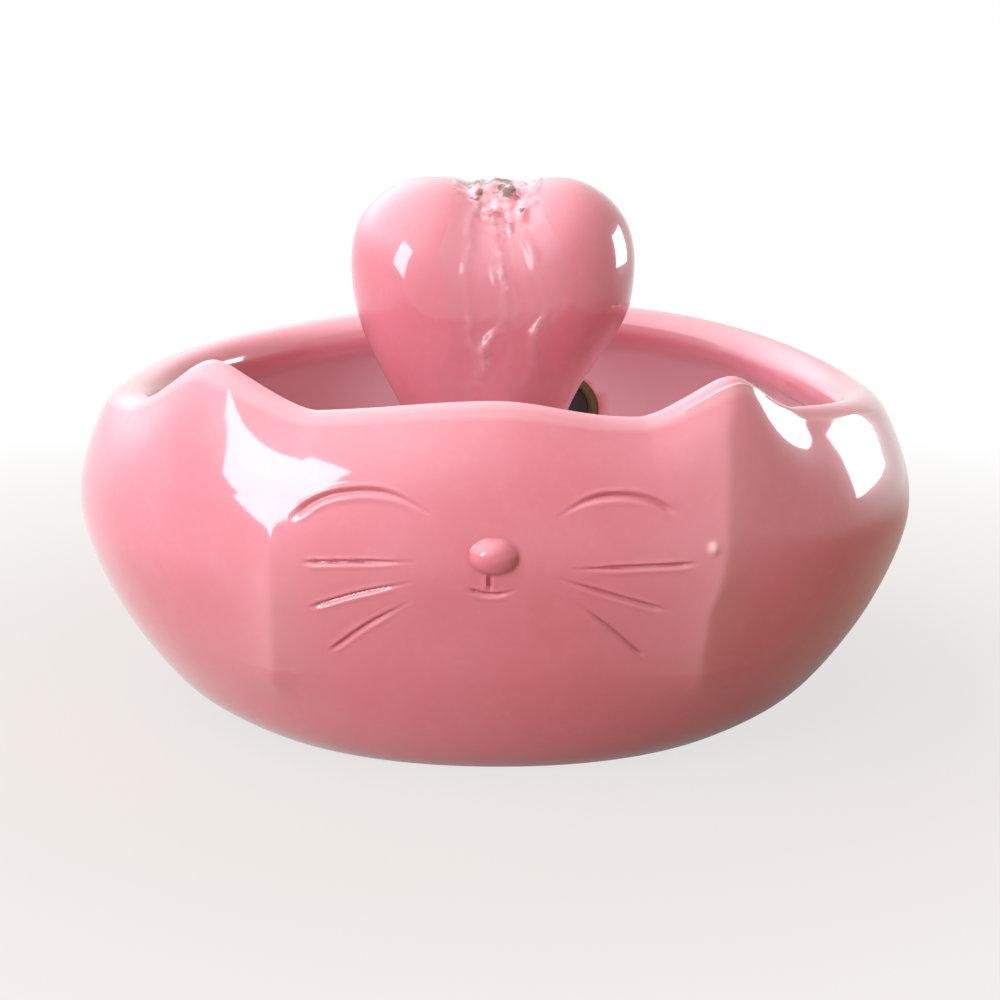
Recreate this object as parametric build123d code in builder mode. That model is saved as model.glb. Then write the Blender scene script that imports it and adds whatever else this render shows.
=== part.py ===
"""Ceramic pet water fountain: cat-faced bowl, heart spout and submersible pump. Millimetres.

+Z is up, the face looks along -Y, and the origin is the centre of the foot on the table.
"""

from build123d import *
from math import cos, exp, hypot, pi, radians, sin, sqrt
import os

os.makedirs("parts", exist_ok=True)

# ---------------------------------------------------------------- driving dimensions: bowl
BOWL_HALF_WIDTH = 120.0
BOWL_FRONT = 100.0
BOWL_BACK = 103.5
BELLY_HEIGHT = 59.0
BELLY_SQUARENESS = 2.28
BELLY_SWELL = 1.43
FOOT_HALF_WIDTH = 81.0
FOOT_HALF_DEPTH = 75.0
FOOT_SQUARENESS = 2.1
FOOT_RING_WIDTH = 8.0
FOOT_RECESS = 3.0
FLOOR_HEIGHT = 12.0
FLOOR_INSET = 14.0
SEAT_RECESS = 0.8
SEAT_CLEARANCE = 1.0
WALL = 6.0
INSIDE_SWELL = 1.8
SHOULDER_TUCK = 2.1
RIM_FRONT = 100.0
RIM_SIDE = 91.3
RIM_BACK = 103.3
RIM_LOWEST_AT = 90.0
RIM_BACK_CURVE = 0.85
RIM_SETBACK_FRONT = 12.0
RIM_SETBACK_BACK = 20.0
LIP_RADIUS_FRONT = 3.1
LIP_RADIUS_BACK = 7.5
LIP_START_FRONT = 25.0
LIP_START_BACK = 39.0
LIP_END_BACK = 245.0
LIP_ROLL_AFTER = 6.0
LIP_ROLL_SPREAD = 26.0

# Each half of the rim, made by hand: the ear's angle from the front, its height and its spread each
# way, and the rim's waves as (angle, half width, height), which end at or before the middle plane.
LEFT_EAR = {"side": -1, "tip": 45.0, "height": 12.0, "inner": 14.5, "outer": 15.0}
RIGHT_EAR = {"side": 1, "tip": 36.5, "height": 8.3, "inner": 11.5, "outer": 9.5}
LEFT_EAR["waves"] = [(28.0, 28.0, -1.5), (135.0, 35.0, -0.6)]
RIGHT_EAR["waves"] = [(20.0, 20.0, -3.0), (140.0, 40.0, 2.2)]
EAR_TIP_ROUNDING = 2.4
EAR_HOLLOW = 1.4
EAR_LEAN = 0.2
EAR_RIDGE = 3.0
EAR_RIDGE_SPREAD = 8.0

NOSE_HALF_WIDTH = 6.2
NOSE_RADIUS = 4.7
NOSE_HEIGHT = 64.0
NOSE_SINK = 1.6

# ---------------------------------------------------------------- driving dimensions: cable way
GROMMET_X = 23.0
GROMMET_Z = 64.0
CABLE_BORE_RADIUS = 2.6
GROMMET_NECK_RADIUS = 8.0
GROMMET_FLANGE_RADIUS = 10.0
GROMMET_FLANGE = 2.2
GROMMET_WEB = 3.0
RING_RADIUS = 13.2
RING_THICKNESS = 1.2
SEAT_MARGIN = 0.4
SEAT_DEPTH = 1.3
FLANGE_ROUNDING = 0.8

# ---------------------------------------------------------------- driving dimensions: heart spout
TOTAL_HEIGHT = 150.0
HEART_FOOT_Z = 62.0
LOBE_OFFSET = 17.0
LOBE_TOP_RADIUS = 24.0
LOBE_FULLNESS = 0.8
# Each lobe's radius as a share of its fullest, and how far up its length that is.
LOBE_PROFILE = ((0.66, 0.0), (0.86, 0.28), (1.0, 0.56))
HEART_WALL = 4.5
PEDESTAL_RADIUS = 35.5
PEDESTAL_FOOT_FLARE = 1.5
PEDESTAL_NECK_RADIUS = 20.0
SHOULDER_RISE = 5.0
NECK_RISE = 20.0
HEART_MIDDLE_RISE = 8.0
INTAKE_ARCHES = 4
ARCH_WIDTH = 16.0
ARCH_HEIGHT = 12.0
OUTLET_COLLAR_WALL = 4.0
OUTLET_COLLAR_LENGTH = 12.0
OUTLET_DISH_DEPTH = 3.0
OUTLET_DISH_MARGIN = 2.0

# ---------------------------------------------------------------- driving dimensions: pump
PUMP_HALF_WIDTH = 17.0
PUMP_FRONT = -7.0
PUMP_BACK = 25.0
PUMP_BODY_HEIGHT = 41.5
PUMP_CORNER = 4.0
PUMP_TOP_ROUNDING = 1.8
PUMP_WALL = 2.0
CUP_HEIGHT = 5.0
CUP_RADIUS = 6.0
CUP_NECK_RADIUS = 2.8
CUP_STEM_RADIUS = 2.0
CUP_STEM = 1.5
CUP_INSET = 6.0
CUP_EDGE = 1.2
MOTOR_AXIS_ABOVE_BASE = 24.5
CHAMBER_RADIUS = 12.0
CHAMBER_DEPTH = 9.0
COVER_PLATE = 2.5
COVER_RADIUS = 15.3
INLET_HOLES = 5
INLET_HOLE_RADIUS = 2.3
O_RING_SECTION = 1.5
WELL_RADIUS = 7.5
WELL_WALL = 1.2
WELL_END = 21.0
SHAFT_RADIUS = 1.0
ROTOR_RADIUS = 6.6
ROTOR_LENGTH = 12.5
IMPELLER_RADIUS = 10.4
IMPELLER_WIDTH = 6.0
HUB_RADIUS = 4.0
VANES = 6
VANE_THICKNESS = 1.3
IMPELLER_DISC = 0.8
BUSH_LENGTH = 2.4
FRONT_BUSH_RADIUS = 2.6
FRONT_BUSH_LENGTH = 1.8
CORE_THICKNESS = 9.0
CORE_LEG_TOP = 10.0
YOKE_HEIGHT = 5.6
YOKE_RISE = 6.5
CORE_GAP = 0.5
BOBBIN_WALL = 0.8
WINDING = 1.7
WINDING_FILL = 0.9
WINDING_ROUNDING = 0.6
POTTING = 2.5
NOZZLE_RADIUS = 3.95
NOZZLE_BORE_RADIUS = 2.8
NOZZLE_LENGTH = 14.0
NOZZLE_FLANGE_RADIUS = 6.0
NOZZLE_FLANGE = 2.0
RISER_WALL = 1.3
BUSH_WALL = 1.6
STRAINER_DEPTH = 6.5
STRAINER_WALL = 1.6
STRAINER_SLOTS = 7
STRAINER_ROUNDING = 1.2
SPONGE = 3.0
DIAL_RADIUS = 6.5
DIAL_SHANK_RADIUS = 4.0
DIAL_HEAD = 2.2
DIAL_ROUNDING = 0.6
DIAL_GRIP_WIDTH = 1.8
DIAL_GRIP_HEIGHT = 1.2
SHUTTER_RADIUS = 5.2
SHUTTER_THICKNESS = 0.8
GLAND_RADIUS = 2.5
GLAND_RISE = 9.0
GLAND_COLLAR = 1.6
GLAND_COLLAR_THICKNESS = 1.2
GLAND_SLEEVE = 0.8
GLAND_LENGTH = 3.0
GLAND_TAPER = 12.0
LEAD_RADIUS = 1.6

# ---------------------------------------------------------------- named clearances
RUNNING_CLEARANCE = 0.05
FREE_GAP = 0.3

# ---------------------------------------------------------------- worked-out places
SEAT_RADIUS = PEDESTAL_RADIUS + PEDESTAL_FOOT_FLARE + SEAT_CLEARANCE
RING_FLOOR = FLOOR_HEIGHT + SEAT_RECESS
PUMP_BASE = FLOOR_HEIGHT + CUP_HEIGHT
PUMP_TOP = PUMP_BASE + PUMP_BODY_HEIGHT
AXIS_Z = PUMP_BASE + MOTOR_AXIS_ABOVE_BASE
CHAMBER_FRONT = PUMP_FRONT + COVER_PLATE
CHAMBER_BACK = CHAMBER_FRONT + CHAMBER_DEPTH
POCKET_FRONT = CHAMBER_BACK + PUMP_WALL
NOZZLE_Y = (CHAMBER_FRONT + CHAMBER_BACK) / 2
STRAINER_FRONT = PUMP_FRONT - STRAINER_DEPTH
RISER_BORE = NOZZLE_RADIUS + RUNNING_CLEARANCE
RISER_RADIUS = RISER_BORE + RISER_WALL
OUTLET_RADIUS = RISER_RADIUS + BUSH_WALL
ROTOR_BORE = SHAFT_RADIUS + RUNNING_CLEARANCE

MOTOR_AXIS = Axis((0, 0, AXIS_Z), (0, 1, 0))


def facing_back(y, x=0.0, z=0.0):
    """A plane across Y whose own x is +X and whose normal is -Y, through (x, y, z)."""
    return Plane(origin=(x, y, z), x_dir=(1, 0, 0), z_dir=(0, -1, 0))


STANDING = (Align.CENTER, Align.CENTER, Align.MIN)


def save(part, name):
    part.label = name
    export_step(part, f"parts/{name}.step")


# ================================================================ bowl
def smooth(t):
    t = min(max(t, 0.0), 1.0)
    return t * t * (3 - 2 * t)


def plan_radius(angle, half_width, half_depth, squareness):
    """Distance from the centre to a rounded oval, at an angle from the front."""
    across = abs(sin(angle)) / half_width
    along = abs(cos(angle)) / half_depth
    return (across**squareness + along**squareness) ** (-1 / squareness)


def swell(t, power):
    """0 to 1, steep at first and level at the end, as a bowl's side rises to its belly."""
    return (1 - (1 - t) ** power) ** (1 / power)


def ear_rise(degrees_round, ear):
    """Height of the ear over the plain rim."""
    away = degrees_round - ear["tip"]
    spread = ear["inner"] if away < 0 else ear["outer"]
    rounded = sqrt(away**2 + EAR_TIP_ROUNDING**2) - EAR_TIP_ROUNDING
    return ear["height"] * max(0.0, 1 - rounded / spread) ** EAR_HOLLOW


def plain_rim(degrees_round, ear):
    """Height of the rim without its ears: level in front, lowest at the sides, high behind."""
    if degrees_round < RIM_LOWEST_AT:
        height = RIM_FRONT - (RIM_FRONT - RIM_SIDE) * smooth(degrees_round / RIM_LOWEST_AT)
    else:
        behind = smooth((degrees_round - RIM_LOWEST_AT) / (180 - RIM_LOWEST_AT))
        height = RIM_SIDE + (RIM_BACK - RIM_SIDE) * behind**RIM_BACK_CURVE
    for middle, half_width, rise in ear["waves"]:
        away = min(abs(degrees_round - middle) / half_width, 1)
        height += rise * cos(pi / 2 * away) ** 2
    return height


def bowl_lines(degrees_round, ear):
    """Points of one upright section, as (distance from the centre, height), and the lip's ends."""
    around = abs(degrees_round)
    around = 360 - around if around > 180 else around
    angle = radians(around)
    depth = BOWL_FRONT if around < 90 else BOWL_BACK
    belly = plan_radius(angle, BOWL_HALF_WIDTH, depth, BELLY_SQUARENESS)
    foot = plan_radius(angle, FOOT_HALF_WIDTH, FOOT_HALF_DEPTH, FOOT_SQUARENESS)
    ear_height = ear_rise(around, ear)
    ridge = EAR_RIDGE * exp(-(((around - ear["tip"]) / EAR_RIDGE_SPREAD) ** 2))
    rolled = smooth((around - ear["tip"] - LIP_ROLL_AFTER) / LIP_ROLL_SPREAD)
    lip_radius = LIP_RADIUS_FRONT + (LIP_RADIUS_BACK - LIP_RADIUS_FRONT) * rolled
    setback = RIM_SETBACK_FRONT + (RIM_SETBACK_BACK - RIM_SETBACK_FRONT) * smooth(around / 180)
    lip_r = belly - setback - EAR_LEAN * ear_height + ridge
    lip_z = plain_rim(around, ear) + ear_height - lip_radius
    start = radians(LIP_START_FRONT + (LIP_START_BACK - LIP_START_FRONT) * rolled)
    end = pi + start + (radians(LIP_END_BACK) - pi - start) * rolled

    outside = []
    for t in (0, 0.12, 0.3, 0.55, 0.8, 1):
        outside.append((foot + (belly - foot) * swell(t, BELLY_SWELL), t * BELLY_HEIGHT))
    lip_start = (lip_r + lip_radius * cos(start), lip_z + lip_radius * sin(start))
    for t in (0.4, 0.75):
        tucked = belly - (belly - lip_start[0]) * t**SHOULDER_TUCK
        outside.append((tucked, BELLY_HEIGHT + t * (lip_start[1] - BELLY_HEIGHT)))
    outside.append(lip_start)
    lip = []
    for step in range(7):
        turn = start + (end - start) * step / 6
        lip.append((lip_r + lip_radius * cos(turn), lip_z + lip_radius * sin(turn)))
    floor_edge = foot - FLOOR_INSET
    inside = [lip[-1]]
    for t in (1, 0.75, 0.5, 0.25, 0.08):
        out = floor_edge + (belly - WALL - floor_edge) * swell(t, INSIDE_SWELL)
        inside.append((out, RING_FLOOR + t * (BELLY_HEIGHT - RING_FLOOR)))
    inside.append((floor_edge, RING_FLOOR))
    return outside, lip, inside, start, end


def radial_plane(degrees_round):
    """The upright plane through the centre at an angle from the front, its x pointing outward."""
    angle = radians(degrees_round)
    return Plane(origin=(0, 0, 0), x_dir=(sin(angle), -cos(angle), 0), z_dir=(-cos(angle), -sin(angle), 0))


def section_angles(ear):
    """Close together over the ear, wider apart elsewhere, and close again at both seams."""
    near = [ear["tip"] + step for step in (-18, -13, -9, -6, -3, 0, 3, 6, 9, 13, 18)]
    wide = [0, 3, *range(12, 169, 12), 177, 180]
    far = [angle for angle in wide if abs(angle - ear["tip"]) > 22]
    return sorted(near + far)


halves = []
for ear in (LEFT_EAR, RIGHT_EAR):
    with BuildPart() as half:
        for angle in section_angles(ear):
            outside, lip, inside, start, end = bowl_lines(angle, ear)
            foot = outside[0][0]
            with BuildSketch(radial_plane(ear["side"] * angle)):
                with BuildLine():
                    Spline(*outside, tangents=[(1, 0.55), (-sin(start), cos(start))])
                    Spline(*lip, tangents=[(-sin(start), cos(start)), (-sin(end), cos(end))])
                    Spline(*inside, tangents=[(-sin(end), cos(end)), (-1, 0)])
                    Polyline(
                        inside[-1],
                        (SEAT_RADIUS, RING_FLOOR),
                        (SEAT_RADIUS, FOOT_RECESS),
                        (foot - FOOT_RING_WIDTH - FOOT_RECESS, FOOT_RECESS),
                        (foot - FOOT_RING_WIDTH, 0),
                        (foot, 0),
                    )
                make_face()
        loft()
    halves.append(half.part)


def wall_at_grommet():
    """How far back the belly's inner face is, at the cable way."""
    across = (GROMMET_X / (BOWL_HALF_WIDTH - WALL)) ** BELLY_SQUARENESS
    return (BOWL_BACK - WALL) * (1 - across) ** (1 / BELLY_SQUARENESS)


GROMMET_SEAT = wall_at_grommet() + SEAT_DEPTH
GROMMET_OUTSIDE = GROMMET_SEAT + GROMMET_WEB
GROMMET_INSIDE = GROMMET_SEAT - RING_THICKNESS - GROMMET_FLANGE
GROMMET_PLACE = {"x": GROMMET_X, "z": GROMMET_Z}

with BuildPart() as bowl:
    add(halves[0])
    add(halves[1])
    # Middle of the floor: a shallow round seat that centres the pedestal.
    with BuildSketch(Plane.XY.offset(FOOT_RECESS + SEAT_RECESS)):
        Circle(SEAT_RADIUS + WALL)
    extrude(amount=FLOOR_HEIGHT - FOOT_RECESS - SEAT_RECESS)
    # Nose: a low oval button on the face.
    nose_y = -BOWL_FRONT + NOSE_SINK
    with BuildSketch(facing_back(nose_y, z=NOSE_HEIGHT)):
        with BuildLine():
            EllipticalCenterArc((0, 0), NOSE_HALF_WIDTH, NOSE_RADIUS, start_angle=0, arc_size=180)
            Line((-NOSE_HALF_WIDTH, 0), (NOSE_HALF_WIDTH, 0))
        make_face()
    revolve(axis=Axis((0, nose_y, NOSE_HEIGHT), (1, 0, 0)))
    # Cable way: a hole with a flat seat on each side of the curved wall.
    with BuildSketch(facing_back(GROMMET_OUTSIDE, **GROMMET_PLACE)):
        Circle(GROMMET_NECK_RADIUS)
    extrude(amount=GROMMET_WEB, mode=Mode.SUBTRACT)
    with BuildSketch(facing_back(GROMMET_SEAT, **GROMMET_PLACE)):
        Circle(RING_RADIUS + SEAT_MARGIN)
    extrude(amount=WALL, mode=Mode.SUBTRACT)
    with BuildSketch(facing_back(GROMMET_OUTSIDE, **GROMMET_PLACE)):
        Circle(GROMMET_FLANGE_RADIUS + SEAT_MARGIN)
    extrude(amount=-WALL, mode=Mode.SUBTRACT)
save(bowl.part, "bowl")

with BuildPart() as cable_grommet:
    with BuildSketch(facing_back(GROMMET_OUTSIDE, **GROMMET_PLACE)):
        Circle(GROMMET_NECK_RADIUS)
    extrude(amount=GROMMET_OUTSIDE - GROMMET_INSIDE)
    with BuildSketch(facing_back(GROMMET_SEAT - RING_THICKNESS, **GROMMET_PLACE)):
        Circle(GROMMET_FLANGE_RADIUS)
    extrude(amount=GROMMET_FLANGE)
    with BuildSketch(facing_back(GROMMET_OUTSIDE, **GROMMET_PLACE)):
        Circle(GROMMET_FLANGE_RADIUS)
    extrude(amount=-GROMMET_FLANGE)
    ends = cable_grommet.faces().filter_by(Axis.Y)
    rims = (ends.sort_by(Axis.Y)[0].edges() + ends.sort_by(Axis.Y)[-1].edges()).filter_by(GeomType.CIRCLE)
    fillet(rims.filter_by(lambda edge: edge.radius > GROMMET_NECK_RADIUS), FLANGE_ROUNDING)
    with BuildSketch(facing_back(GROMMET_OUTSIDE + GROMMET_FLANGE, **GROMMET_PLACE)):
        Circle(CABLE_BORE_RADIUS)
    extrude(amount=GROMMET_OUTSIDE + GROMMET_FLANGE - GROMMET_INSIDE, mode=Mode.SUBTRACT)
save(cable_grommet.part, "cable_grommet")

with BuildPart() as grommet_ring:
    with BuildSketch(facing_back(GROMMET_SEAT, **GROMMET_PLACE)):
        Circle(RING_RADIUS)
        Circle(GROMMET_NECK_RADIUS, mode=Mode.SUBTRACT)
    extrude(amount=RING_THICKNESS)
save(grommet_ring.part, "grommet_ring")

# ================================================================ heart spout
LOBE_TILT = Vector(0, 0, 1).get_angle(Vector(LOBE_OFFSET, 0, TOTAL_HEIGHT - LOBE_TOP_RADIUS - HEART_FOOT_Z))
LOBE_LENGTH = hypot(LOBE_OFFSET, TOTAL_HEIGHT - LOBE_TOP_RADIUS - HEART_FOOT_Z) + LOBE_TOP_RADIUS
SHOULDER_Z = PUMP_TOP + SHOULDER_RISE
CLEFT_Z = TOTAL_HEIGHT - LOBE_TOP_RADIUS + sqrt(LOBE_TOP_RADIUS**2 - LOBE_OFFSET**2)
MIDDLE_Z = (SHOULDER_Z + CLEFT_Z) / 2 + HEART_MIDDLE_RISE


def lobe_plane(side):
    """Plane of one lobe's half profile, its y running up the lobe's tilted axis."""
    tilt = radians(LOBE_TILT) * side
    return Plane(origin=(0, 0, HEART_FOOT_Z), x_dir=(cos(tilt), 0, -sin(tilt)), z_dir=(0, -1, 0))


def heart_solid(inset):
    """The heart and its pedestal as one closed body, drawn in by the wall's thickness or by nothing."""
    full = LOBE_TOP_RADIUS + LOBE_FULLNESS
    top = LOBE_TOP_RADIUS - inset
    widths = [(share * full - inset, max(up * LOBE_LENGTH, inset)) for share, up in LOBE_PROFILE]
    with BuildPart(mode=Mode.PRIVATE) as body:
        for side in (-1, 1):
            plane = lobe_plane(side)
            with BuildSketch(plane):
                with BuildLine():
                    Spline(
                        *widths,
                        (top, LOBE_LENGTH - LOBE_TOP_RADIUS),
                        (0.7 * top, LOBE_LENGTH - inset - 0.3 * top),
                        (0, LOBE_LENGTH - inset),
                        tangents=[(0.3, 1), (-1, 0)],
                    )
                    Polyline((0, LOBE_LENGTH - inset), (0, inset), widths[0])
                make_face()
            revolve(axis=Axis(plane.origin, plane.y_dir))
        with BuildSketch(facing_back(0)):
            with BuildLine():
                base = PEDESTAL_RADIUS - inset
                neck = PEDESTAL_NECK_RADIUS - inset
                Polyline((0, FLOOR_HEIGHT), (base + PEDESTAL_FOOT_FLARE, FLOOR_HEIGHT))
                Spline(
                    (base + PEDESTAL_FOOT_FLARE, FLOOR_HEIGHT),
                    (base, FLOOR_HEIGHT + 12),
                    (base - 0.5, SHOULDER_Z - 8),
                    (base - 3.5 - 0.4 * inset, SHOULDER_Z + 4 - inset),
                    (neck + 1.5, SHOULDER_Z + 14 - inset),
                    (neck, SHOULDER_Z + NECK_RISE),
                    (top, MIDDLE_Z),
                    (0.94 * top, CLEFT_Z - 0.7 * LOBE_TOP_RADIUS),
                    (0.5 * top, CLEFT_Z - 0.1 * top - inset),
                    (0, CLEFT_Z - inset),
                    tangents=[(-0.3, 1), (-1, 0)],
                )
                Line((0, CLEFT_Z - inset), (0, FLOOR_HEIGHT))
            make_face()
        revolve(axis=Axis.Z)
    return body.part


OUTLET_TOP = CLEFT_Z - OUTLET_DISH_DEPTH
OUTLET_BOTTOM = OUTLET_TOP - OUTLET_COLLAR_LENGTH

with BuildPart() as heart_spout:
    add(heart_solid(0.0))
    add(heart_solid(HEART_WALL), mode=Mode.SUBTRACT)
    # Collar inside the cleft that holds the outlet bush.
    with BuildSketch(Plane.XY.offset(OUTLET_BOTTOM)):
        Circle(OUTLET_RADIUS + OUTLET_COLLAR_WALL)
    extrude(amount=OUTLET_COLLAR_LENGTH)
    with BuildSketch(Plane.XY.offset(OUTLET_TOP)):
        Circle(OUTLET_RADIUS + OUTLET_DISH_MARGIN)
    extrude(amount=TOTAL_HEIGHT - OUTLET_TOP, mode=Mode.SUBTRACT)
    with BuildSketch(Plane.XY.offset(OUTLET_BOTTOM)):
        Circle(OUTLET_RADIUS)
    extrude(amount=OUTLET_COLLAR_LENGTH, mode=Mode.SUBTRACT)
    # Round-topped arches round the foot let the water in and the lead out.
    for number in range(INTAKE_ARCHES):
        turned = radial_plane(number * 360 / INTAKE_ARCHES)
        with BuildSketch(Plane(origin=(0, 0, FLOOR_HEIGHT), x_dir=-turned.z_dir, z_dir=turned.x_dir)):
            with Locations((0, 0)):
                Rectangle(ARCH_WIDTH, ARCH_HEIGHT - ARCH_WIDTH / 2, align=(Align.CENTER, Align.MIN))
            with Locations((0, ARCH_HEIGHT - ARCH_WIDTH / 2)):
                Circle(ARCH_WIDTH / 2)
        extrude(amount=PEDESTAL_RADIUS + 2 * PEDESTAL_FOOT_FLARE, mode=Mode.SUBTRACT)
save(heart_spout.part, "heart_spout")

with BuildPart() as outlet_bush:
    with BuildSketch(Plane.XY.offset(OUTLET_BOTTOM)):
        Circle(OUTLET_RADIUS)
        Circle(RISER_RADIUS, mode=Mode.SUBTRACT)
    extrude(amount=OUTLET_COLLAR_LENGTH)
    with BuildSketch(Plane.XY.offset(OUTLET_BOTTOM - BUSH_WALL)):
        Circle(OUTLET_RADIUS + BUSH_WALL)
        Circle(RISER_RADIUS, mode=Mode.SUBTRACT)
    extrude(amount=BUSH_WALL)
save(outlet_bush.part, "outlet_bush")

RISER_BOTTOM = PUMP_TOP + NOZZLE_FLANGE + FREE_GAP
with BuildPart() as riser_tube:
    with BuildSketch(Plane.XY.offset(RISER_BOTTOM)):
        Circle(RISER_RADIUS)
        Circle(RISER_BORE, mode=Mode.SUBTRACT)
    extrude(amount=OUTLET_TOP - RISER_BOTTOM)
save(riser_tube.part, "riser_tube")

# ================================================================ pump: housing and seals
PUMP_MIDDLE = (PUMP_FRONT + PUMP_BACK) / 2
CORE_HALF_WIDTH = PUMP_HALF_WIDTH - PUMP_WALL
PORT_BOTTOM = AXIS_Z + CHAMBER_RADIUS / 2
GLAND_Z = PUMP_BASE + GLAND_RISE
POTTING_FRONT = PUMP_BACK - POTTING
GROOVE_RADIUS = (CHAMBER_RADIUS + COVER_RADIUS) / 2


def cup_spots():
    """The four suction cups' places round the middle of the pump's base."""
    return GridLocations(2 * (PUMP_HALF_WIDTH - CUP_INSET), PUMP_BACK - PUMP_FRONT - 2 * CUP_INSET, 2, 2)


with BuildPart() as pump_housing:
    with BuildSketch(Plane.XY.offset(PUMP_BASE)):
        with Locations((0, PUMP_MIDDLE)):
            Rectangle(2 * PUMP_HALF_WIDTH, PUMP_BACK - PUMP_FRONT)
    extrude(amount=PUMP_BODY_HEIGHT)
    back_corners = pump_housing.edges().filter_by(Axis.Z).group_by(Axis.Y)[-1]
    fillet(back_corners, PUMP_CORNER)
    fillet(pump_housing.faces().sort_by(Axis.Z)[-1].edges().sort_by(Axis.Y)[1:], PUMP_TOP_ROUNDING)
    # Motor pocket, open at the back, with the rotor well left standing in it.
    with BuildSketch(facing_back(PUMP_BACK, z=PUMP_BASE + PUMP_BODY_HEIGHT / 2)):
        RectangleRounded(2 * CORE_HALF_WIDTH, PUMP_BODY_HEIGHT - 2 * PUMP_WALL, PUMP_WALL)
    extrude(amount=PUMP_BACK - POCKET_FRONT, mode=Mode.SUBTRACT)
    with BuildSketch(facing_back(WELL_END + WELL_WALL, z=AXIS_Z)):
        Circle(WELL_RADIUS + WELL_WALL)
    extrude(amount=WELL_END + WELL_WALL - POCKET_FRONT)
    with BuildSketch(facing_back(WELL_END, z=AXIS_Z)):
        Circle(WELL_RADIUS)
    extrude(amount=WELL_END - CHAMBER_BACK, mode=Mode.SUBTRACT)
    # Impeller chamber, the cover's seat and the port up to the nozzle.
    with BuildSketch(facing_back(CHAMBER_BACK, z=AXIS_Z)):
        Circle(CHAMBER_RADIUS)
    extrude(amount=CHAMBER_DEPTH, mode=Mode.SUBTRACT)
    with BuildSketch(facing_back(CHAMBER_FRONT, z=AXIS_Z)):
        Circle(COVER_RADIUS)
    extrude(amount=COVER_PLATE, mode=Mode.SUBTRACT)
    with BuildSketch(Plane.XY.offset(PORT_BOTTOM)):
        with Locations((0, NOZZLE_Y)):
            Circle(NOZZLE_RADIUS)
    extrude(amount=PUMP_TOP - PORT_BOTTOM, mode=Mode.SUBTRACT)
    with BuildSketch(Plane.XY.offset(PUMP_BASE)):
        with Locations((0, PUMP_MIDDLE)):
            with cup_spots():
                Circle(CUP_STEM_RADIUS)
    extrude(amount=CUP_STEM, mode=Mode.SUBTRACT)
save(pump_housing.part, "pump_housing")

with BuildPart() as chamber_cover:
    with BuildSketch(facing_back(CHAMBER_FRONT, z=AXIS_Z)):
        Circle(COVER_RADIUS)
        with PolarLocations((FRONT_BUSH_RADIUS + CHAMBER_RADIUS) / 2, INLET_HOLES):
            Circle(INLET_HOLE_RADIUS, mode=Mode.SUBTRACT)
    extrude(amount=COVER_PLATE)
    with BuildSketch(facing_back(CHAMBER_FRONT, z=AXIS_Z)):
        Circle(FRONT_BUSH_RADIUS)
    extrude(amount=FRONT_BUSH_LENGTH, mode=Mode.SUBTRACT)
    with BuildSketch(facing_back(CHAMBER_FRONT, z=AXIS_Z)):
        Circle(GROOVE_RADIUS + O_RING_SECTION / 2)
        Circle(GROOVE_RADIUS - O_RING_SECTION / 2, mode=Mode.SUBTRACT)
    extrude(amount=O_RING_SECTION, mode=Mode.SUBTRACT)
save(chamber_cover.part, "chamber_cover")

with BuildPart() as chamber_o_ring:
    with BuildSketch(Plane.YZ):
        with Locations((CHAMBER_FRONT - O_RING_SECTION / 2, AXIS_Z + GROOVE_RADIUS)):
            Circle(O_RING_SECTION / 2)
    revolve(axis=MOTOR_AXIS)
save(chamber_o_ring.part, "chamber_o_ring")

with BuildPart() as potting:
    with BuildSketch(facing_back(PUMP_BACK, z=PUMP_BASE + PUMP_BODY_HEIGHT / 2)):
        RectangleRounded(2 * CORE_HALF_WIDTH, PUMP_BODY_HEIGHT - 2 * PUMP_WALL, PUMP_WALL)
    extrude(amount=POTTING)
    with BuildSketch(facing_back(PUMP_BACK, z=GLAND_Z)):
        Circle(GLAND_RADIUS)
    extrude(amount=POTTING, mode=Mode.SUBTRACT)
save(potting.part, "potting")

with BuildPart() as pump_cable_gland:
    with BuildSketch(facing_back(PUMP_BACK, z=GLAND_Z)):
        Circle(GLAND_RADIUS)
    extrude(amount=POTTING)
    with BuildSketch(facing_back(PUMP_BACK, z=GLAND_Z)):
        Circle(GLAND_RADIUS + GLAND_COLLAR)
    extrude(amount=-GLAND_COLLAR_THICKNESS)
    with BuildSketch(facing_back(PUMP_BACK + GLAND_COLLAR_THICKNESS, z=GLAND_Z)):
        Circle(GLAND_RADIUS + GLAND_SLEEVE)
    extrude(amount=GLAND_COLLAR_THICKNESS - GLAND_LENGTH, taper=GLAND_TAPER)
    with BuildSketch(facing_back(PUMP_BACK + GLAND_LENGTH, z=GLAND_Z)):
        Circle(LEAD_RADIUS)
    extrude(amount=GLAND_LENGTH + POTTING, mode=Mode.SUBTRACT)
save(pump_cable_gland.part, "pump_cable_gland")

with BuildPart() as suction_cups:
    with Locations((0, PUMP_MIDDLE, FLOOR_HEIGHT)):
        with cup_spots():
            Cone(CUP_RADIUS, CUP_NECK_RADIUS, CUP_HEIGHT, align=STANDING)
            Cylinder(CUP_STEM_RADIUS, CUP_HEIGHT + CUP_STEM, align=STANDING)
            hollow_top = CUP_STEM_RADIUS - CUP_EDGE
            Cone(CUP_RADIUS - CUP_EDGE, hollow_top, CUP_HEIGHT / 3, align=STANDING, mode=Mode.SUBTRACT)
save(suction_cups.part, "suction_cups")

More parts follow.
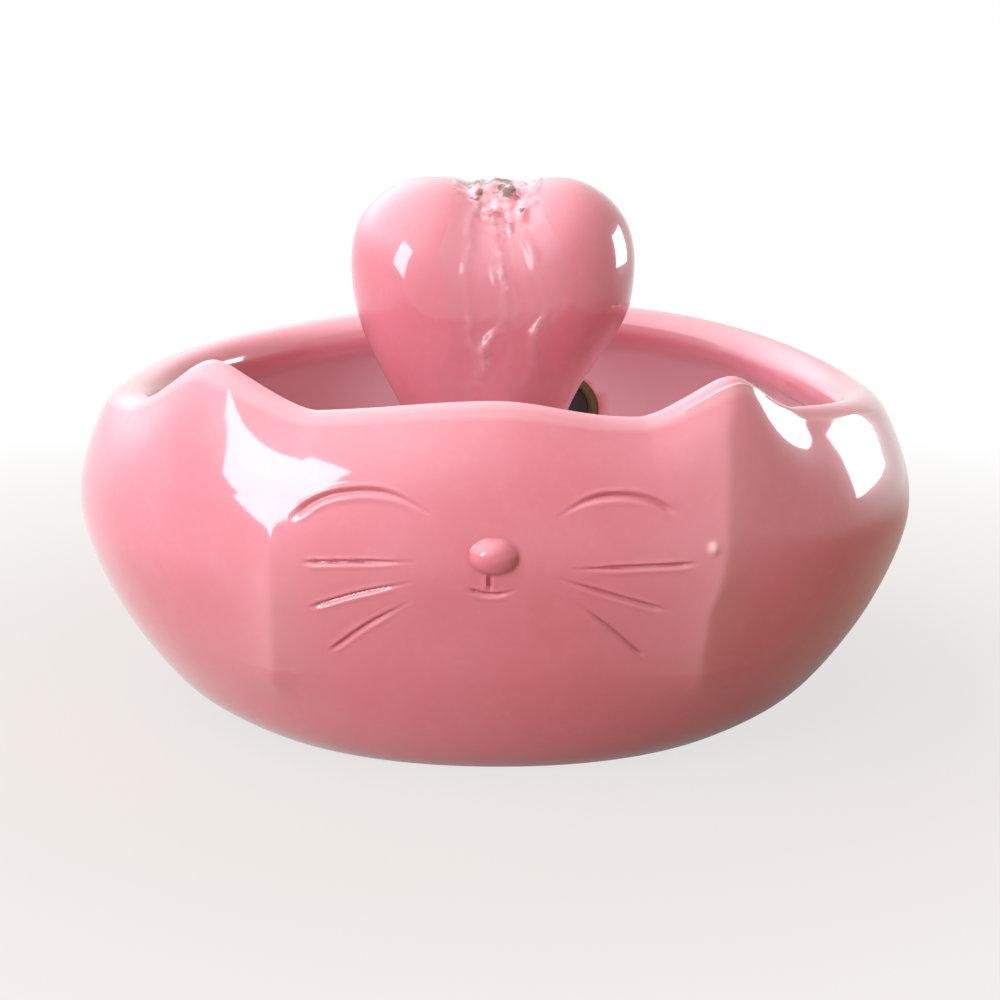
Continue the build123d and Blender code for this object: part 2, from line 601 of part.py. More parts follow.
with BuildPart() as outlet_nozzle:
    with BuildSketch(Plane.XY.offset(AXIS_Z + CHAMBER_RADIUS)):
        with Locations((0, NOZZLE_Y)):
            Circle(NOZZLE_RADIUS)
    extrude(amount=PUMP_TOP + NOZZLE_LENGTH - AXIS_Z - CHAMBER_RADIUS)
    with BuildSketch(Plane.XY.offset(PUMP_TOP)):
        with Locations((0, NOZZLE_Y)):
            Circle(NOZZLE_FLANGE_RADIUS)
    extrude(amount=NOZZLE_FLANGE)
    with BuildSketch(Plane.XY.offset(AXIS_Z + CHAMBER_RADIUS)):
        with Locations((0, NOZZLE_Y)):
            Circle(NOZZLE_BORE_RADIUS)
    extrude(amount=PUMP_TOP + NOZZLE_LENGTH - AXIS_Z - CHAMBER_RADIUS, mode=Mode.SUBTRACT)
save(outlet_nozzle.part, "outlet_nozzle")

# ================================================================ pump: motor
CORE_MIDDLE_Y = (POCKET_FRONT + POTTING_FRONT) / 2
YOKE_BOTTOM = PUMP_BASE + YOKE_RISE
CORE_TOP = AXIS_Z + CORE_LEG_TOP
LEG_INSIDE = WELL_RADIUS + WELL_WALL + CORE_GAP
CORE_BACK = CORE_MIDDLE_Y + CORE_THICKNESS / 2
YOKE_MIDDLE = YOKE_BOTTOM + YOKE_HEIGHT / 2

with BuildPart() as stator_core:
    with BuildSketch(facing_back(CORE_BACK)):
        with Locations((0, YOKE_BOTTOM)):
            Rectangle(2 * CORE_HALF_WIDTH, CORE_TOP - YOKE_BOTTOM, align=(Align.CENTER, Align.MIN))
        with Locations((0, YOKE_BOTTOM + YOKE_HEIGHT)):
            Rectangle(2 * LEG_INSIDE, CORE_TOP, align=(Align.CENTER, Align.MIN), mode=Mode.SUBTRACT)
    extrude(amount=CORE_THICKNESS)
save(stator_core.part, "stator_core")


def round_the_yoke(thickness):
    """The yoke's cross-section grown by a thickness, in the plane of the bobbin's flange."""
    Rectangle(CORE_THICKNESS + 2 * thickness, YOKE_HEIGHT + 2 * thickness)


def across_the_yoke(x):
    return Plane(origin=(x, CORE_MIDDLE_Y, YOKE_MIDDLE), x_dir=(0, 1, 0), z_dir=(1, 0, 0))


BOBBIN_END = LEG_INSIDE
with BuildPart() as coil_bobbin:
    with BuildSketch(across_the_yoke(-BOBBIN_END)):
        round_the_yoke(BOBBIN_WALL)
    extrude(amount=2 * BOBBIN_END)
    for flange_x in (-BOBBIN_END, BOBBIN_END - BOBBIN_WALL):
        with BuildSketch(across_the_yoke(flange_x)):
            round_the_yoke(BOBBIN_WALL + WINDING)
        extrude(amount=BOBBIN_WALL)
    with BuildSketch(across_the_yoke(-BOBBIN_END)):
        round_the_yoke(0.0)
    extrude(amount=2 * BOBBIN_END, mode=Mode.SUBTRACT)
save(coil_bobbin.part, "coil_bobbin")

with BuildPart() as coil_winding:
    with BuildSketch(across_the_yoke(-BOBBIN_END + BOBBIN_WALL)):
        round_the_yoke(BOBBIN_WALL + WINDING_FILL * WINDING)
        Rectangle(CORE_THICKNESS + 2 * BOBBIN_WALL, YOKE_HEIGHT + 2 * BOBBIN_WALL, mode=Mode.SUBTRACT)
    extrude(amount=2 * (BOBBIN_END - BOBBIN_WALL))
    long_edges = coil_winding.edges().filter_by(Axis.X).group_by(SortBy.LENGTH)[-1]
    fillet(long_edges.sort_by(Axis.Z)[-2:], WINDING_ROUNDING)
save(coil_winding.part, "coil_winding")

REAR_BUSH_FRONT = WELL_END - BUSH_LENGTH
with BuildPart() as rear_shaft_bush:
    with BuildSketch(facing_back(WELL_END, z=AXIS_Z)):
        Circle(WELL_RADIUS)
        Circle(SHAFT_RADIUS, mode=Mode.SUBTRACT)
    extrude(amount=BUSH_LENGTH)
save(rear_shaft_bush.part, "rear_shaft_bush")

with BuildPart() as front_shaft_bush:
    with BuildSketch(facing_back(CHAMBER_FRONT, z=AXIS_Z)):
        Circle(FRONT_BUSH_RADIUS)
        Circle(SHAFT_RADIUS, mode=Mode.SUBTRACT)
    extrude(amount=FRONT_BUSH_LENGTH)
save(front_shaft_bush.part, "front_shaft_bush")

SHAFT_FRONT = CHAMBER_FRONT - FRONT_BUSH_LENGTH
with BuildPart() as rotor_shaft:
    with BuildSketch(facing_back(WELL_END, z=AXIS_Z)):
        Circle(SHAFT_RADIUS)
    extrude(amount=WELL_END - SHAFT_FRONT)
save(rotor_shaft.part, "rotor_shaft")

ROTOR_BACK = REAR_BUSH_FRONT - FREE_GAP
ROTOR_FRONT = ROTOR_BACK - ROTOR_LENGTH
with BuildPart() as rotor_magnet:
    with BuildSketch(facing_back(ROTOR_BACK, z=AXIS_Z)):
        Circle(ROTOR_RADIUS)
        Circle(ROTOR_BORE, mode=Mode.SUBTRACT)
    extrude(amount=ROTOR_LENGTH)
save(rotor_magnet.part, "rotor_magnet")

IMPELLER_FRONT = CHAMBER_FRONT + FREE_GAP
with BuildPart() as impeller:
    with BuildSketch(facing_back(ROTOR_FRONT, z=AXIS_Z)):
        Circle(HUB_RADIUS)
    extrude(amount=ROTOR_FRONT - IMPELLER_FRONT)
    with BuildSketch(facing_back(IMPELLER_FRONT + IMPELLER_WIDTH, z=AXIS_Z)):
        with PolarLocations(0, VANES):
            Rectangle(IMPELLER_RADIUS, VANE_THICKNESS, align=(Align.MIN, Align.CENTER))
    extrude(amount=IMPELLER_WIDTH)
    with BuildSketch(facing_back(IMPELLER_FRONT + IMPELLER_WIDTH, z=AXIS_Z)):
        Circle(IMPELLER_RADIUS)
    extrude(amount=-IMPELLER_DISC)
    with BuildSketch(facing_back(ROTOR_FRONT, z=AXIS_Z)):
        Circle(ROTOR_BORE)
    extrude(amount=ROTOR_FRONT - IMPELLER_FRONT, mode=Mode.SUBTRACT)
save(impeller.part, "impeller")

# ================================================================ pump: intake
STRAINER_HEIGHT = PUMP_BODY_HEIGHT
SLOT_PITCH = 2 * (PUMP_HALF_WIDTH - 2 * STRAINER_WALL) / STRAINER_SLOTS
SLOT_WIDTH = SLOT_PITCH / 2
SLOT_LENGTH = (STRAINER_HEIGHT - 2 * DIAL_RADIUS) / 2 - 4 * STRAINER_WALL
SLOT_ROW = DIAL_RADIUS + 2 * STRAINER_WALL + SLOT_LENGTH / 2
PUMP_MIDDLE_Z = PUMP_BASE + PUMP_BODY_HEIGHT / 2

with BuildPart() as strainer_cover:
    with BuildSketch(facing_back(PUMP_FRONT, z=PUMP_MIDDLE_Z)):
        Rectangle(2 * PUMP_HALF_WIDTH, STRAINER_HEIGHT)
    extrude(amount=STRAINER_DEPTH)
    front_edges = strainer_cover.faces().sort_by(Axis.Y)[0].edges()
    fillet(front_edges, STRAINER_ROUNDING)
    with BuildSketch(facing_back(PUMP_FRONT, z=PUMP_MIDDLE_Z)):
        Rectangle(2 * (PUMP_HALF_WIDTH - STRAINER_WALL), STRAINER_HEIGHT - 2 * STRAINER_WALL)
    extrude(amount=STRAINER_DEPTH - STRAINER_WALL, mode=Mode.SUBTRACT)
    with BuildSketch(facing_back(STRAINER_FRONT + STRAINER_WALL, z=PUMP_MIDDLE_Z)):
        for row in (-SLOT_ROW, SLOT_ROW):
            with Locations((0, row)):
                with GridLocations(SLOT_PITCH, 1, STRAINER_SLOTS, 1):
                    SlotOverall(SLOT_LENGTH, SLOT_WIDTH, rotation=90)
        with Locations((0, AXIS_Z - PUMP_MIDDLE_Z)):
            Circle(DIAL_SHANK_RADIUS + RUNNING_CLEARANCE)
    extrude(amount=STRAINER_WALL, mode=Mode.SUBTRACT)
save(strainer_cover.part, "strainer_cover")

with BuildPart() as prefilter_sponge:
    with BuildSketch(facing_back(PUMP_FRONT, z=PUMP_MIDDLE_Z)):
        Rectangle(
            2 * (PUMP_HALF_WIDTH - STRAINER_WALL - FREE_GAP),
            STRAINER_HEIGHT - 2 * (STRAINER_WALL + FREE_GAP),
        )
    extrude(amount=SPONGE)
save(prefilter_sponge.part, "prefilter_sponge")

STRAINER_INSIDE = STRAINER_FRONT + STRAINER_WALL
with BuildPart() as flow_dial:
    with BuildSketch(facing_back(STRAINER_FRONT - FREE_GAP, z=AXIS_Z)):
        Circle(DIAL_RADIUS)
    extrude(amount=DIAL_HEAD)
    fillet(flow_dial.faces().sort_by(Axis.Y)[0].edges(), DIAL_ROUNDING)
    with BuildSketch(facing_back(STRAINER_FRONT - FREE_GAP - DIAL_HEAD, z=AXIS_Z)):
        Rectangle(DIAL_GRIP_WIDTH, 1.6 * DIAL_RADIUS)
    extrude(amount=DIAL_GRIP_HEIGHT)
    with BuildSketch(facing_back(STRAINER_INSIDE + FREE_GAP, z=AXIS_Z)):
        Circle(DIAL_SHANK_RADIUS)
    extrude(amount=STRAINER_WALL + 2 * FREE_GAP)
    with BuildSketch(facing_back(STRAINER_INSIDE + FREE_GAP + SHUTTER_THICKNESS, z=AXIS_Z)):
        Circle(SHUTTER_RADIUS)
    extrude(amount=SHUTTER_THICKNESS)
save(flow_dial.part, "flow_dial")
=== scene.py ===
import math

import bmesh
import bpy
import numpy as np
from bpy.props import FloatProperty, FloatVectorProperty, PointerProperty
from mathutils import Matrix, Vector, noise


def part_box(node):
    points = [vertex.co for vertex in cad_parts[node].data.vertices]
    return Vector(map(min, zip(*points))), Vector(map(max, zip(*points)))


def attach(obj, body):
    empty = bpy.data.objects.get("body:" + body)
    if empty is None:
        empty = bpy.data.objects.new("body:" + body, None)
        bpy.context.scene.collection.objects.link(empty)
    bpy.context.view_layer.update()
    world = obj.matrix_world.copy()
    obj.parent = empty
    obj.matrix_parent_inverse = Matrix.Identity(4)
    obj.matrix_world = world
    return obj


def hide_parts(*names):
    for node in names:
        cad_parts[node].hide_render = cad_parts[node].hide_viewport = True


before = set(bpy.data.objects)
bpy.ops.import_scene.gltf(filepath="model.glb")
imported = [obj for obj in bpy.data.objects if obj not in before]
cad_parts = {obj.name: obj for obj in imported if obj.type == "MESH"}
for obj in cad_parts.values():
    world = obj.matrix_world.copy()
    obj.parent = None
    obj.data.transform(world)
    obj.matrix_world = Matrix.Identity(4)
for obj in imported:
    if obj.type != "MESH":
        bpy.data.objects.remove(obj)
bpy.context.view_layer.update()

bl_info = {
    "name": "Cat Bowl Fountain",
    "version": (1, 0, 0),
    "blender": (4, 5, 0),
    "location": "3D View > Sidebar > Fountain",
    "description": "Looks of a glazed ceramic drinking fountain with a heart spout",
    "category": "Object",
}

MM = 0.001
BOWL_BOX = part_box("bowl")


# ---------------------------------------------------------------- colours and settings
def linear(colour):
    """An sRGB hex colour, such as E8909E, as linear red, green, blue and alpha."""
    parts = [int(colour[at : at + 2], 16) / 255 for at in (0, 2, 4)]
    return (*(p / 12.92 if p <= 0.04045 else ((p + 0.055) / 1.055) ** 2.4 for p in parts), 1.0)


def length(name, description, default):
    return FloatProperty(name=name, description=description, default=default, unit="LENGTH", precision=5)


def colour(name, description, default):
    return FloatVectorProperty(
        name=name, description=description, default=linear(default), subtype="COLOR", size=4, min=0, max=1
    )


def strength(name, description, default, unit="NONE"):
    return FloatProperty(name=name, description=description, default=default, unit=unit, min=0)


class GlazeSettings(bpy.types.PropertyGroup):
    """Colours of the glaze on the bowl and the heart."""

    body: colour("Glaze", "Colour of the pink glaze at its usual thickness", "DE8697")
    warm: colour("Warm patches", "Colour where the glaze is a little thicker", "D97B8B")
    pooled: colour("Pooled glaze", "Colour in the bottom of the engraved lines", "B4525A")
    # This colour is also painted over the whole inside of the bowl as painted light. It is paler than the
    # glaze and stands in for the light that the rim shades from the inside.
    thin: colour("Thin glaze", "Colour where the glaze runs off an edge and inside", "F8D8DF")
    bisque: colour("Bare clay", "Colour of the unglazed foot", "E9DCC8")


class BowlSettings(bpy.types.PropertyGroup):
    """Sizes of what is modelled on the bowl."""

    half_width: length("Belly half width", "From the middle to the side of the belly", BOWL_BOX[1][0])
    eye_width: length("Eye groove", "Width of the grooves that draw the closed eyes", 0.0019)
    whisker_width: length("Whisker groove", "Width of the grooves that draw the whiskers", 0.0014)
    groove_depth: length("Groove depth", "Depth of the engraved lines", 0.00078)
    crease_height: length("Cheek crease", "How far the soft creases under the ears stand out", 0.0022)
    crease_spread: length("Crease spread", "How wide each crease fades out on both sides", 0.009)


class HeartSettings(bpy.types.PropertyGroup):
    """Sizes of the heart spout and of the water on it."""

    wall: length("Wall", "Thickness of the heart's wall", 0.0045)
    blend: length("Seam blend", "How softly the lobes run into each other", 0.007)
    film: length("Water film", "Thickness of the running water", 0.0004)
    rope: length("Water ropes", "Height of the strands in the running water", 0.0019)


class StageSettings(bpy.types.PropertyGroup):
    """Colours of the floor and strength of the lamps."""

    floor: colour("Floor", "Colour of the floor", "9E826C")
    window: strength("Window lamp", "Power of the window lamp", 4.5, "POWER")
    second: strength("Second window", "Power of the window that only the glaze shows", 10.0, "POWER")
    fill: strength("Fill lamp", "Power of the large lamp overhead", 10.5, "POWER")
    glow: strength("Room glow", "How brightly the room glows from the left", 1.45)
    shine: strength("Mirrored glow", "How bright that glow is in the glaze", 4.0)


# ---------------------------------------------------------------- mesh helpers
def smooth(t):
    """An even ramp from 0 to 1 that starts and ends level."""
    t = np.clip(t, 0.0, 1.0)
    return t * t * (3 - 2 * t)


def soft_max(a, b, k):
    """The larger of two, rounded over a width of k where they cross."""
    h = np.maximum(k - np.abs(a - b), 0) / k
    return np.maximum(a, b) + h * h * k / 4


def soft_min(a, b, k):
    """The smaller of two, rounded in the same way."""
    return -soft_max(-a, -b, k)


SPAN_STEPS = 24


def clamped_spline(points, start, end, count):
    """Even points along the smooth curve through the given ones, with set directions at its ends."""
    points = np.array(points, float)
    spans = np.linalg.norm(np.diff(points, axis=0), axis=1)
    last = len(points) - 1
    system = np.zeros((last + 1, last + 1))
    wanted = np.zeros((last + 1, 2))
    system[0, 0] = system[last, last] = 1
    wanted[0] = np.array(start) / np.hypot(*start)
    wanted[last] = np.array(end) / np.hypot(*end)
    for at in range(1, last):
        before, after = spans[at - 1], spans[at]
        system[at, at - 1 : at + 2] = after, 2 * (before + after), before
        step_back = (points[at] - points[at - 1]) / before
        step_on = (points[at + 1] - points[at]) / after
        wanted[at] = 3 * (after * step_back + before * step_on)
    slopes = np.linalg.solve(system, wanted)
    pieces = []
    for at in range(last):
        t = np.linspace(0, 1, SPAN_STEPS, endpoint=at == last - 1)[:, None]
        h = spans[at]
        pieces.append(
            (2 * t**3 - 3 * t**2 + 1) * points[at]
            + (t**3 - 2 * t**2 + t) * h * slopes[at]
            + (3 * t**2 - 2 * t**3) * points[at + 1]
            + (t**3 - t**2) * h * slopes[at + 1]
        )
    curve = np.vstack(pieces)
    along = np.concatenate([[0], np.cumsum(np.linalg.norm(np.diff(curve, axis=0), axis=1))])
    wanted_at = np.linspace(0, along[-1], count)
    return np.column_stack([np.interp(wanted_at, along, curve[:, axis]) for axis in (0, 1)])


def grid_normals(place):
    """Unit normals of a grid of points, rows by columns, pointing away from the rows' turning direction."""
    down = np.gradient(place, axis=0)
    across = np.gradient(place, axis=1)
    normal = np.cross(across, down)
    return normal / np.maximum(np.linalg.norm(normal, axis=2, keepdims=True), 1e-12)


def bent_grid(place, marks=None):
    """A flat grid with its vertices moved to the given places in millimetres; equal places are merged."""
    rows, columns, _ = place.shape
    mesh = bmesh.new()
    bmesh.ops.create_grid(mesh, x_segments=columns - 1, y_segments=rows - 1, size=0.5)
    layers = {name: mesh.verts.layers.float.new(name) for name in (marks or {})}
    for vert in mesh.verts:
        column = round((vert.co.x + 0.5) * (columns - 1))
        row = round((vert.co.y + 0.5) * (rows - 1))
        vert.co = Vector(place[row, column]) * MM
        for name, layer in layers.items():
            vert[layer] = float(marks[name][row, column])
    bmesh.ops.remove_doubles(mesh, verts=mesh.verts, dist=2e-6)
    bmesh.ops.dissolve_degenerate(mesh, edges=mesh.edges, dist=1e-6)
    bmesh.ops.recalc_face_normals(mesh, faces=mesh.faces)
    return mesh


def finish_piece(mesh, name, materials, sharp_over=40.0):
    """The mesh as an object with its materials, smooth except over sharp edges."""
    for face in mesh.faces:
        face.smooth = True
    for edge in mesh.edges:
        if len(edge.link_faces) == 2 and edge.calc_face_angle(0) > math.radians(sharp_over):
            edge.smooth = False
    data = bpy.data.meshes.new(name)
    mesh.to_mesh(data)
    mesh.free()
    piece = bpy.data.objects.new(name, data)
    bpy.context.scene.collection.objects.link(piece)
    for material in materials:
        data.materials.append(material)
    return piece


def cylinder(radius, depth, placed):
    """A closed cylinder with its sizes in millimetres, to cut with."""
    mesh = bmesh.new()
    bmesh.ops.create_cone(
        mesh, cap_ends=True, segments=64, radius1=radius * MM, radius2=radius * MM, depth=depth * MM,
        matrix=placed,
    )
    return mesh


def cut_away(mesh, cutters):
    """The mesh with the cutters' shapes taken out of it by exact Booleans."""
    block = bpy.data.meshes.new("block")
    mesh.to_mesh(block)
    mesh.free()
    body = bpy.data.objects.new("block", block)
    bpy.context.scene.collection.objects.link(body)
    tools = []
    for number, cutter in enumerate(cutters):
        shape = bpy.data.meshes.new(f"cutter_{number}")
        bmesh.ops.recalc_face_normals(cutter, faces=cutter.faces)
        cutter.to_mesh(shape)
        cutter.free()
        tool = bpy.data.objects.new(f"cutter_{number}", shape)
        bpy.context.scene.collection.objects.link(tool)
        cut = body.modifiers.new("cut", "BOOLEAN")
        cut.operation = "DIFFERENCE"
        cut.solver = "EXACT"
        cut.object = tool
        tools.append(tool)
    bpy.context.view_layer.update()
    result = bmesh.new()
    result.from_object(body, bpy.context.evaluated_depsgraph_get())
    for spent in (*tools, body):
        data = spent.data
        bpy.data.objects.remove(spent)
        bpy.data.meshes.remove(data)
    return result


# ---------------------------------------------------------------- bowl
# Each ear's tip and two sides in degrees, its height, and the slow waves of the rim on its half of the bowl.
LEFT_EAR = {"tip": 45.0, "height": 12.0, "inner": 14.5, "outer": 15.0}
LEFT_EAR["waves"] = ((28, 28, -1.5), (135, 35, -0.6))
RIGHT_EAR = {"tip": 36.5, "height": 8.3, "inner": 11.5, "outer": 9.5}
RIGHT_EAR["waves"] = ((20, 20, -3.0), (140, 40, 2.2))
# The belly's half depths to the front and the back, the foot's half width and half depth, and how square
# the two ovals are.
BELLY_FRONT, BELLY_BACK, BELLY_SQUARE = 100.0, 103.5, 2.28
FOOT_SIDE, FOOT_FRONT, FOOT_SQUARE = 81.0, 75.0, 2.1
BELLY_HEIGHT = 59.0
# The rim's height at the front, the sides and the back.
RIM_FRONT, RIM_SIDE, RIM_BACK = 100.0, 91.3, 103.3
# The radius of the lip where it is pinched at the ears, and how much fuller it is where it is rolled in.
LIP_PINCHED, LIP_FULLER = 3.1, 4.4
WALL = 6.0
# The bowl's floor, and the shallow round seat in it that the heart stands in.
RING_FLOOR = 12.8
SEAT_FLOOR = 12.0
SEAT_RADIUS = 38.0
FOOT_RING = 8.0
FOOT_TOP = 0.5
# The hole for the grommet: its place, the radii of its neck and recesses, and the depths of their floors.
GROMMET = {"x": 23.0, "z": 64.0, "neck": 8.0, "outside": 100.68, "seat": 97.68, "flange": 10.4, "ring": 13.6}

# Engraved lines of the face, as x and z in millimetres on the bowl's front.
EYES = (
    (
        (-48.9, 72.0), (-44.8, 75.3), (-39.9, 77.7), (-34.4, 78.9),
        (-29.5, 79.2), (-24.6, 78.5), (-20.3, 76.8), (-16.1, 74.6),
    ),
    ((44.5, 73.2), (40.7, 75.7), (36.1, 77.6), (31.2, 78.4), (25.7, 78.2), (20.6, 76.7), (15.6, 73.9)),
)
WHISKERS = (
    ((-46.7, 61.1), (-33.7, 62.0), (-19.7, 62.5)),
    ((-45.2, 49.5), (-33.8, 53.7), (-20.0, 57.4)),
    ((-40.7, 37.5), (-31.6, 45.1), (-21.0, 52.0)),
    ((49.0, 61.3), (32.9, 61.1), (18.6, 60.9)),
    ((42.0, 49.6), (26.9, 54.7), (15.3, 58.7)),
    ((37.6, 36.2), (29.1, 44.5), (20.6, 51.9)),
)
MOUTH = (
    ((-1.1, 59.4), (-1.1, 57.0), (-1.0, 55.0)),
    ((-6.1, 55.9), (-3.4, 54.9), (-0.4, 54.6), (2.7, 54.9), (5.1, 55.8)),
)
# Soft creases under the ears, as height, degrees from the front and how strong it is there.
CREASES = (
    (
        (18, 33.0, 0.0), (26, 32.0, 0.8), (37, 30.4, 1.0), (48, 30.0, 1.0),
        (58, 31.2, 1.0), (72, 31.8, 1.0), (92, 33.2, 0.9), (106, 36.5, 0.5),
    ),
    (
        (16, -35.0, 0.0), (25, -34.4, 0.8), (36, -32.4, 1.0), (50, -31.0, 0.9),
        (62, -30.6, 0.5), (76, -31.0, 0.0), (106, -40.0, 0.0),
    ),
)
NOSE = {"x": 0.0, "z": 64.0, "half_width": 6.2, "radius": 4.7, "middle": 98.4}
NOSE_TIP = 103.08
# A bead of glaze that dried on the right cheek.
CHEEK_BEAD = {"x": 53.0, "z": 64.8, "radius": 2.0, "height": 0.7}


def plan_radius(angle, half_width, half_depth, squareness):
    """How far out a squared-off oval lies at an angle from the front."""
    across = abs(math.sin(angle)) / half_width
    along = abs(math.cos(angle)) / half_depth
    return (across**squareness + along**squareness) ** (-1 / squareness)


def swell(t, power):
    """From 0 to 1, steep at first and level at the end."""
    return (1 - (1 - t) ** power) ** (1 / power)


def rim_height(around, ear):
    """Height of the rim with its ear, and the ear's own part of it."""
    if around < 90:
        height = RIM_FRONT - (RIM_FRONT - RIM_SIDE) * smooth(around / 90)
    else:
        height = RIM_SIDE + (RIM_BACK - RIM_SIDE) * smooth((around - 90) / 90) ** 0.85
    for middle, half_width, rise in ear["waves"]:
        away = min(abs(around - middle) / half_width, 1)
        height += rise * math.cos(math.pi / 2 * away) ** 2
    away = around - ear["tip"]
    rounded = math.sqrt(away**2 + 2.4**2) - 2.4
    rise = ear["height"] * max(0.0, 1 - rounded / (ear["inner"] if away < 0 else ear["outer"])) ** 1.4
    return height, rise


# Heights of the grid's rows on the outside, close together where the face is engraved.
OUTSIDE_HEIGHTS = np.concatenate([
    [0.7, 1.4, 2.4, 3.6, 5, 6.6, 8.4, 10.4, 12.6, 15, 17.4, 19.8, 22.2, 24.4, 26.4, 28.2, 29.8, 31.2, 32.4],
    np.arange(33.2, 82.6, 0.35),
    [83.4, 84.4],
])
# How many rows of the grid lie on each stretch of a section, from the middle of the underside round.
UNDER_ROWS = 12
NECK_ROWS = 11
LIP_ROWS = 14
INNER_ROWS = 35
FLOOR_ROWS = 8
OUTSIDE_END = UNDER_ROWS + len(OUTSIDE_HEIGHTS) + NECK_ROWS


def bowl_section(degrees, half_width):
    """One upright section of the bowl from the middle of its underside round to the middle of its floor."""
    around = abs(degrees)
    angle = math.radians(around)
    ear = RIGHT_EAR if degrees >= 0 else LEFT_EAR
    belly = plan_radius(angle, half_width, BELLY_FRONT if around < 90 else BELLY_BACK, BELLY_SQUARE)
    foot = plan_radius(angle, FOOT_SIDE, FOOT_FRONT, FOOT_SQUARE)
    height, rise = rim_height(around, ear)
    rolled = float(smooth((around - ear["tip"] - 6) / 26))
    lip_radius = LIP_PINCHED + LIP_FULLER * rolled
    lip_r = belly - 2 * WALL - 8 * float(smooth(around / 180)) - 0.2 * rise
    lip_r += 3 * math.exp(-(((around - ear["tip"]) / 8) ** 2))
    lip_z = height + rise - lip_radius
    start = math.radians(25 + 14 * rolled)
    end = math.pi + start + (math.radians(245) - math.pi - start) * rolled

    def on_lip(turn):
        return lip_r + lip_radius * math.cos(turn), lip_z + lip_radius * math.sin(turn)

    rising = (0, 0.12, 0.3, 0.55, 0.8, 1)
    outside = [(foot + (belly - foot) * swell(t, 1.43), t * BELLY_HEIGHT) for t in rising]
    lip_start = on_lip(start)
    for t in (0.4, 0.75):
        drawn_in = (belly - lip_start[0]) * t**2.1
        outside.append((belly - drawn_in, BELLY_HEIGHT + t * (lip_start[1] - BELLY_HEIGHT)))
    outside.append(lip_start)
    floor_edge = foot - 14
    inside = [on_lip(end)]
    for t in (1, 0.75, 0.5, 0.25, 0.08):
        hollow = (belly - WALL - floor_edge) * swell(t, 1.8)
        inside.append((floor_edge + hollow, RING_FLOOR + t * (BELLY_HEIGHT - RING_FLOOR)))
    inside.append((floor_edge, RING_FLOOR))
    leave, arrive = (-math.sin(start), math.cos(start)), (-math.sin(end), math.cos(end))

    side = clamped_spline(outside, (1, 0.55), leave, 400)
    top = OUTSIDE_HEIGHTS[-1]
    neck = top + (lip_start[1] - top) * np.linspace(0, 1, NECK_ROWS + 1)[1:]
    heights = np.concatenate([OUTSIDE_HEIGHTS, neck])
    side = np.column_stack([np.interp(heights, side[:, 1], side[:, 0]), heights])
    lip = [on_lip(start + (end - start) * step / 6) for step in range(7)]
    lip = clamped_spline(lip, leave, arrive, LIP_ROWS + 1)[1:]
    inner = clamped_spline(inside, arrive, (-1, 0), INNER_ROWS + 1)[1:]
    ring_inside = foot - FOOT_RING
    under = [(0, 3), (20, 3), (38, 3), (ring_inside - 4, 3), (ring_inside - 2.8, 2.8)]
    under += [(ring_inside - 0.6, 0.6), (ring_inside, 0.15), (ring_inside + 0.8, 0), (foot - 1.4, 0)]
    under += [(foot - 0.5, 0.05), (foot + 0.2, 0.2), (foot + 0.75, 0.42)]
    floor = [(SEAT_RADIUS + 8, RING_FLOOR), (SEAT_RADIUS + 0.7, RING_FLOOR), (SEAT_RADIUS + 0.2, 12.7)]
    floor += [(SEAT_RADIUS, 12.4), (SEAT_RADIUS - 0.2, 12.1), (SEAT_RADIUS - 0.8, SEAT_FLOOR)]
    floor += [(18, SEAT_FLOOR), (0, SEAT_FLOOR)]
    return np.vstack([under, side, lip, inner, floor])


def along_line(points, step=0.35):
    """A drawn line as close points, each with how far along it lies from 0 to 1."""
    points = np.array(points)
    spans = np.concatenate([[0], np.cumsum(np.linalg.norm(np.diff(points, axis=0), axis=1))])
    if len(points) > 2:
        count = max(int(spans[-1] / step), 4)
        line = clamped_spline(points, points[1] - points[0], points[-1] - points[-2], count)
    else:
        line = np.linspace(points[0], points[1], int(spans[-1] / step))
    return line, np.linspace(0, 1, len(line))


def engrave(x, z, points, width, hook=0.0):
    """How deep a drawn line cuts at each place, from 0 to 1, and the soft bead beside it.
    The line is fullest near its start and runs out thin, as a tool leaves it."""
    line, share = along_line(points)
    best = np.full(x.shape, 1e9)
    where = np.zeros(x.shape)
    for (px, pz), at in zip(line, share):
        # The tool leans: a groove's lower side slopes more gently than its upper side.
        down = pz - z
        distance = np.hypot(x - px, down * np.where(down > 0, 0.8, 1.2))
        nearer = distance < best
        best[nearer] = distance[nearer]
        where[nearer] = at
    full = smooth(where / 0.12) * smooth((1 - where) / 0.4)
    half = width / 2 * (0.6 + 0.4 * full + hook * np.exp(-((where / 0.12) ** 2)))
    depth = (1 - smooth(best / half / 1.25)) * (0.12 + 0.88 * full)
    bead = 0.2 * full * np.exp(-(((best - half * 1.5) / (0.45 * half + 0.2)) ** 2))
    return depth, bead


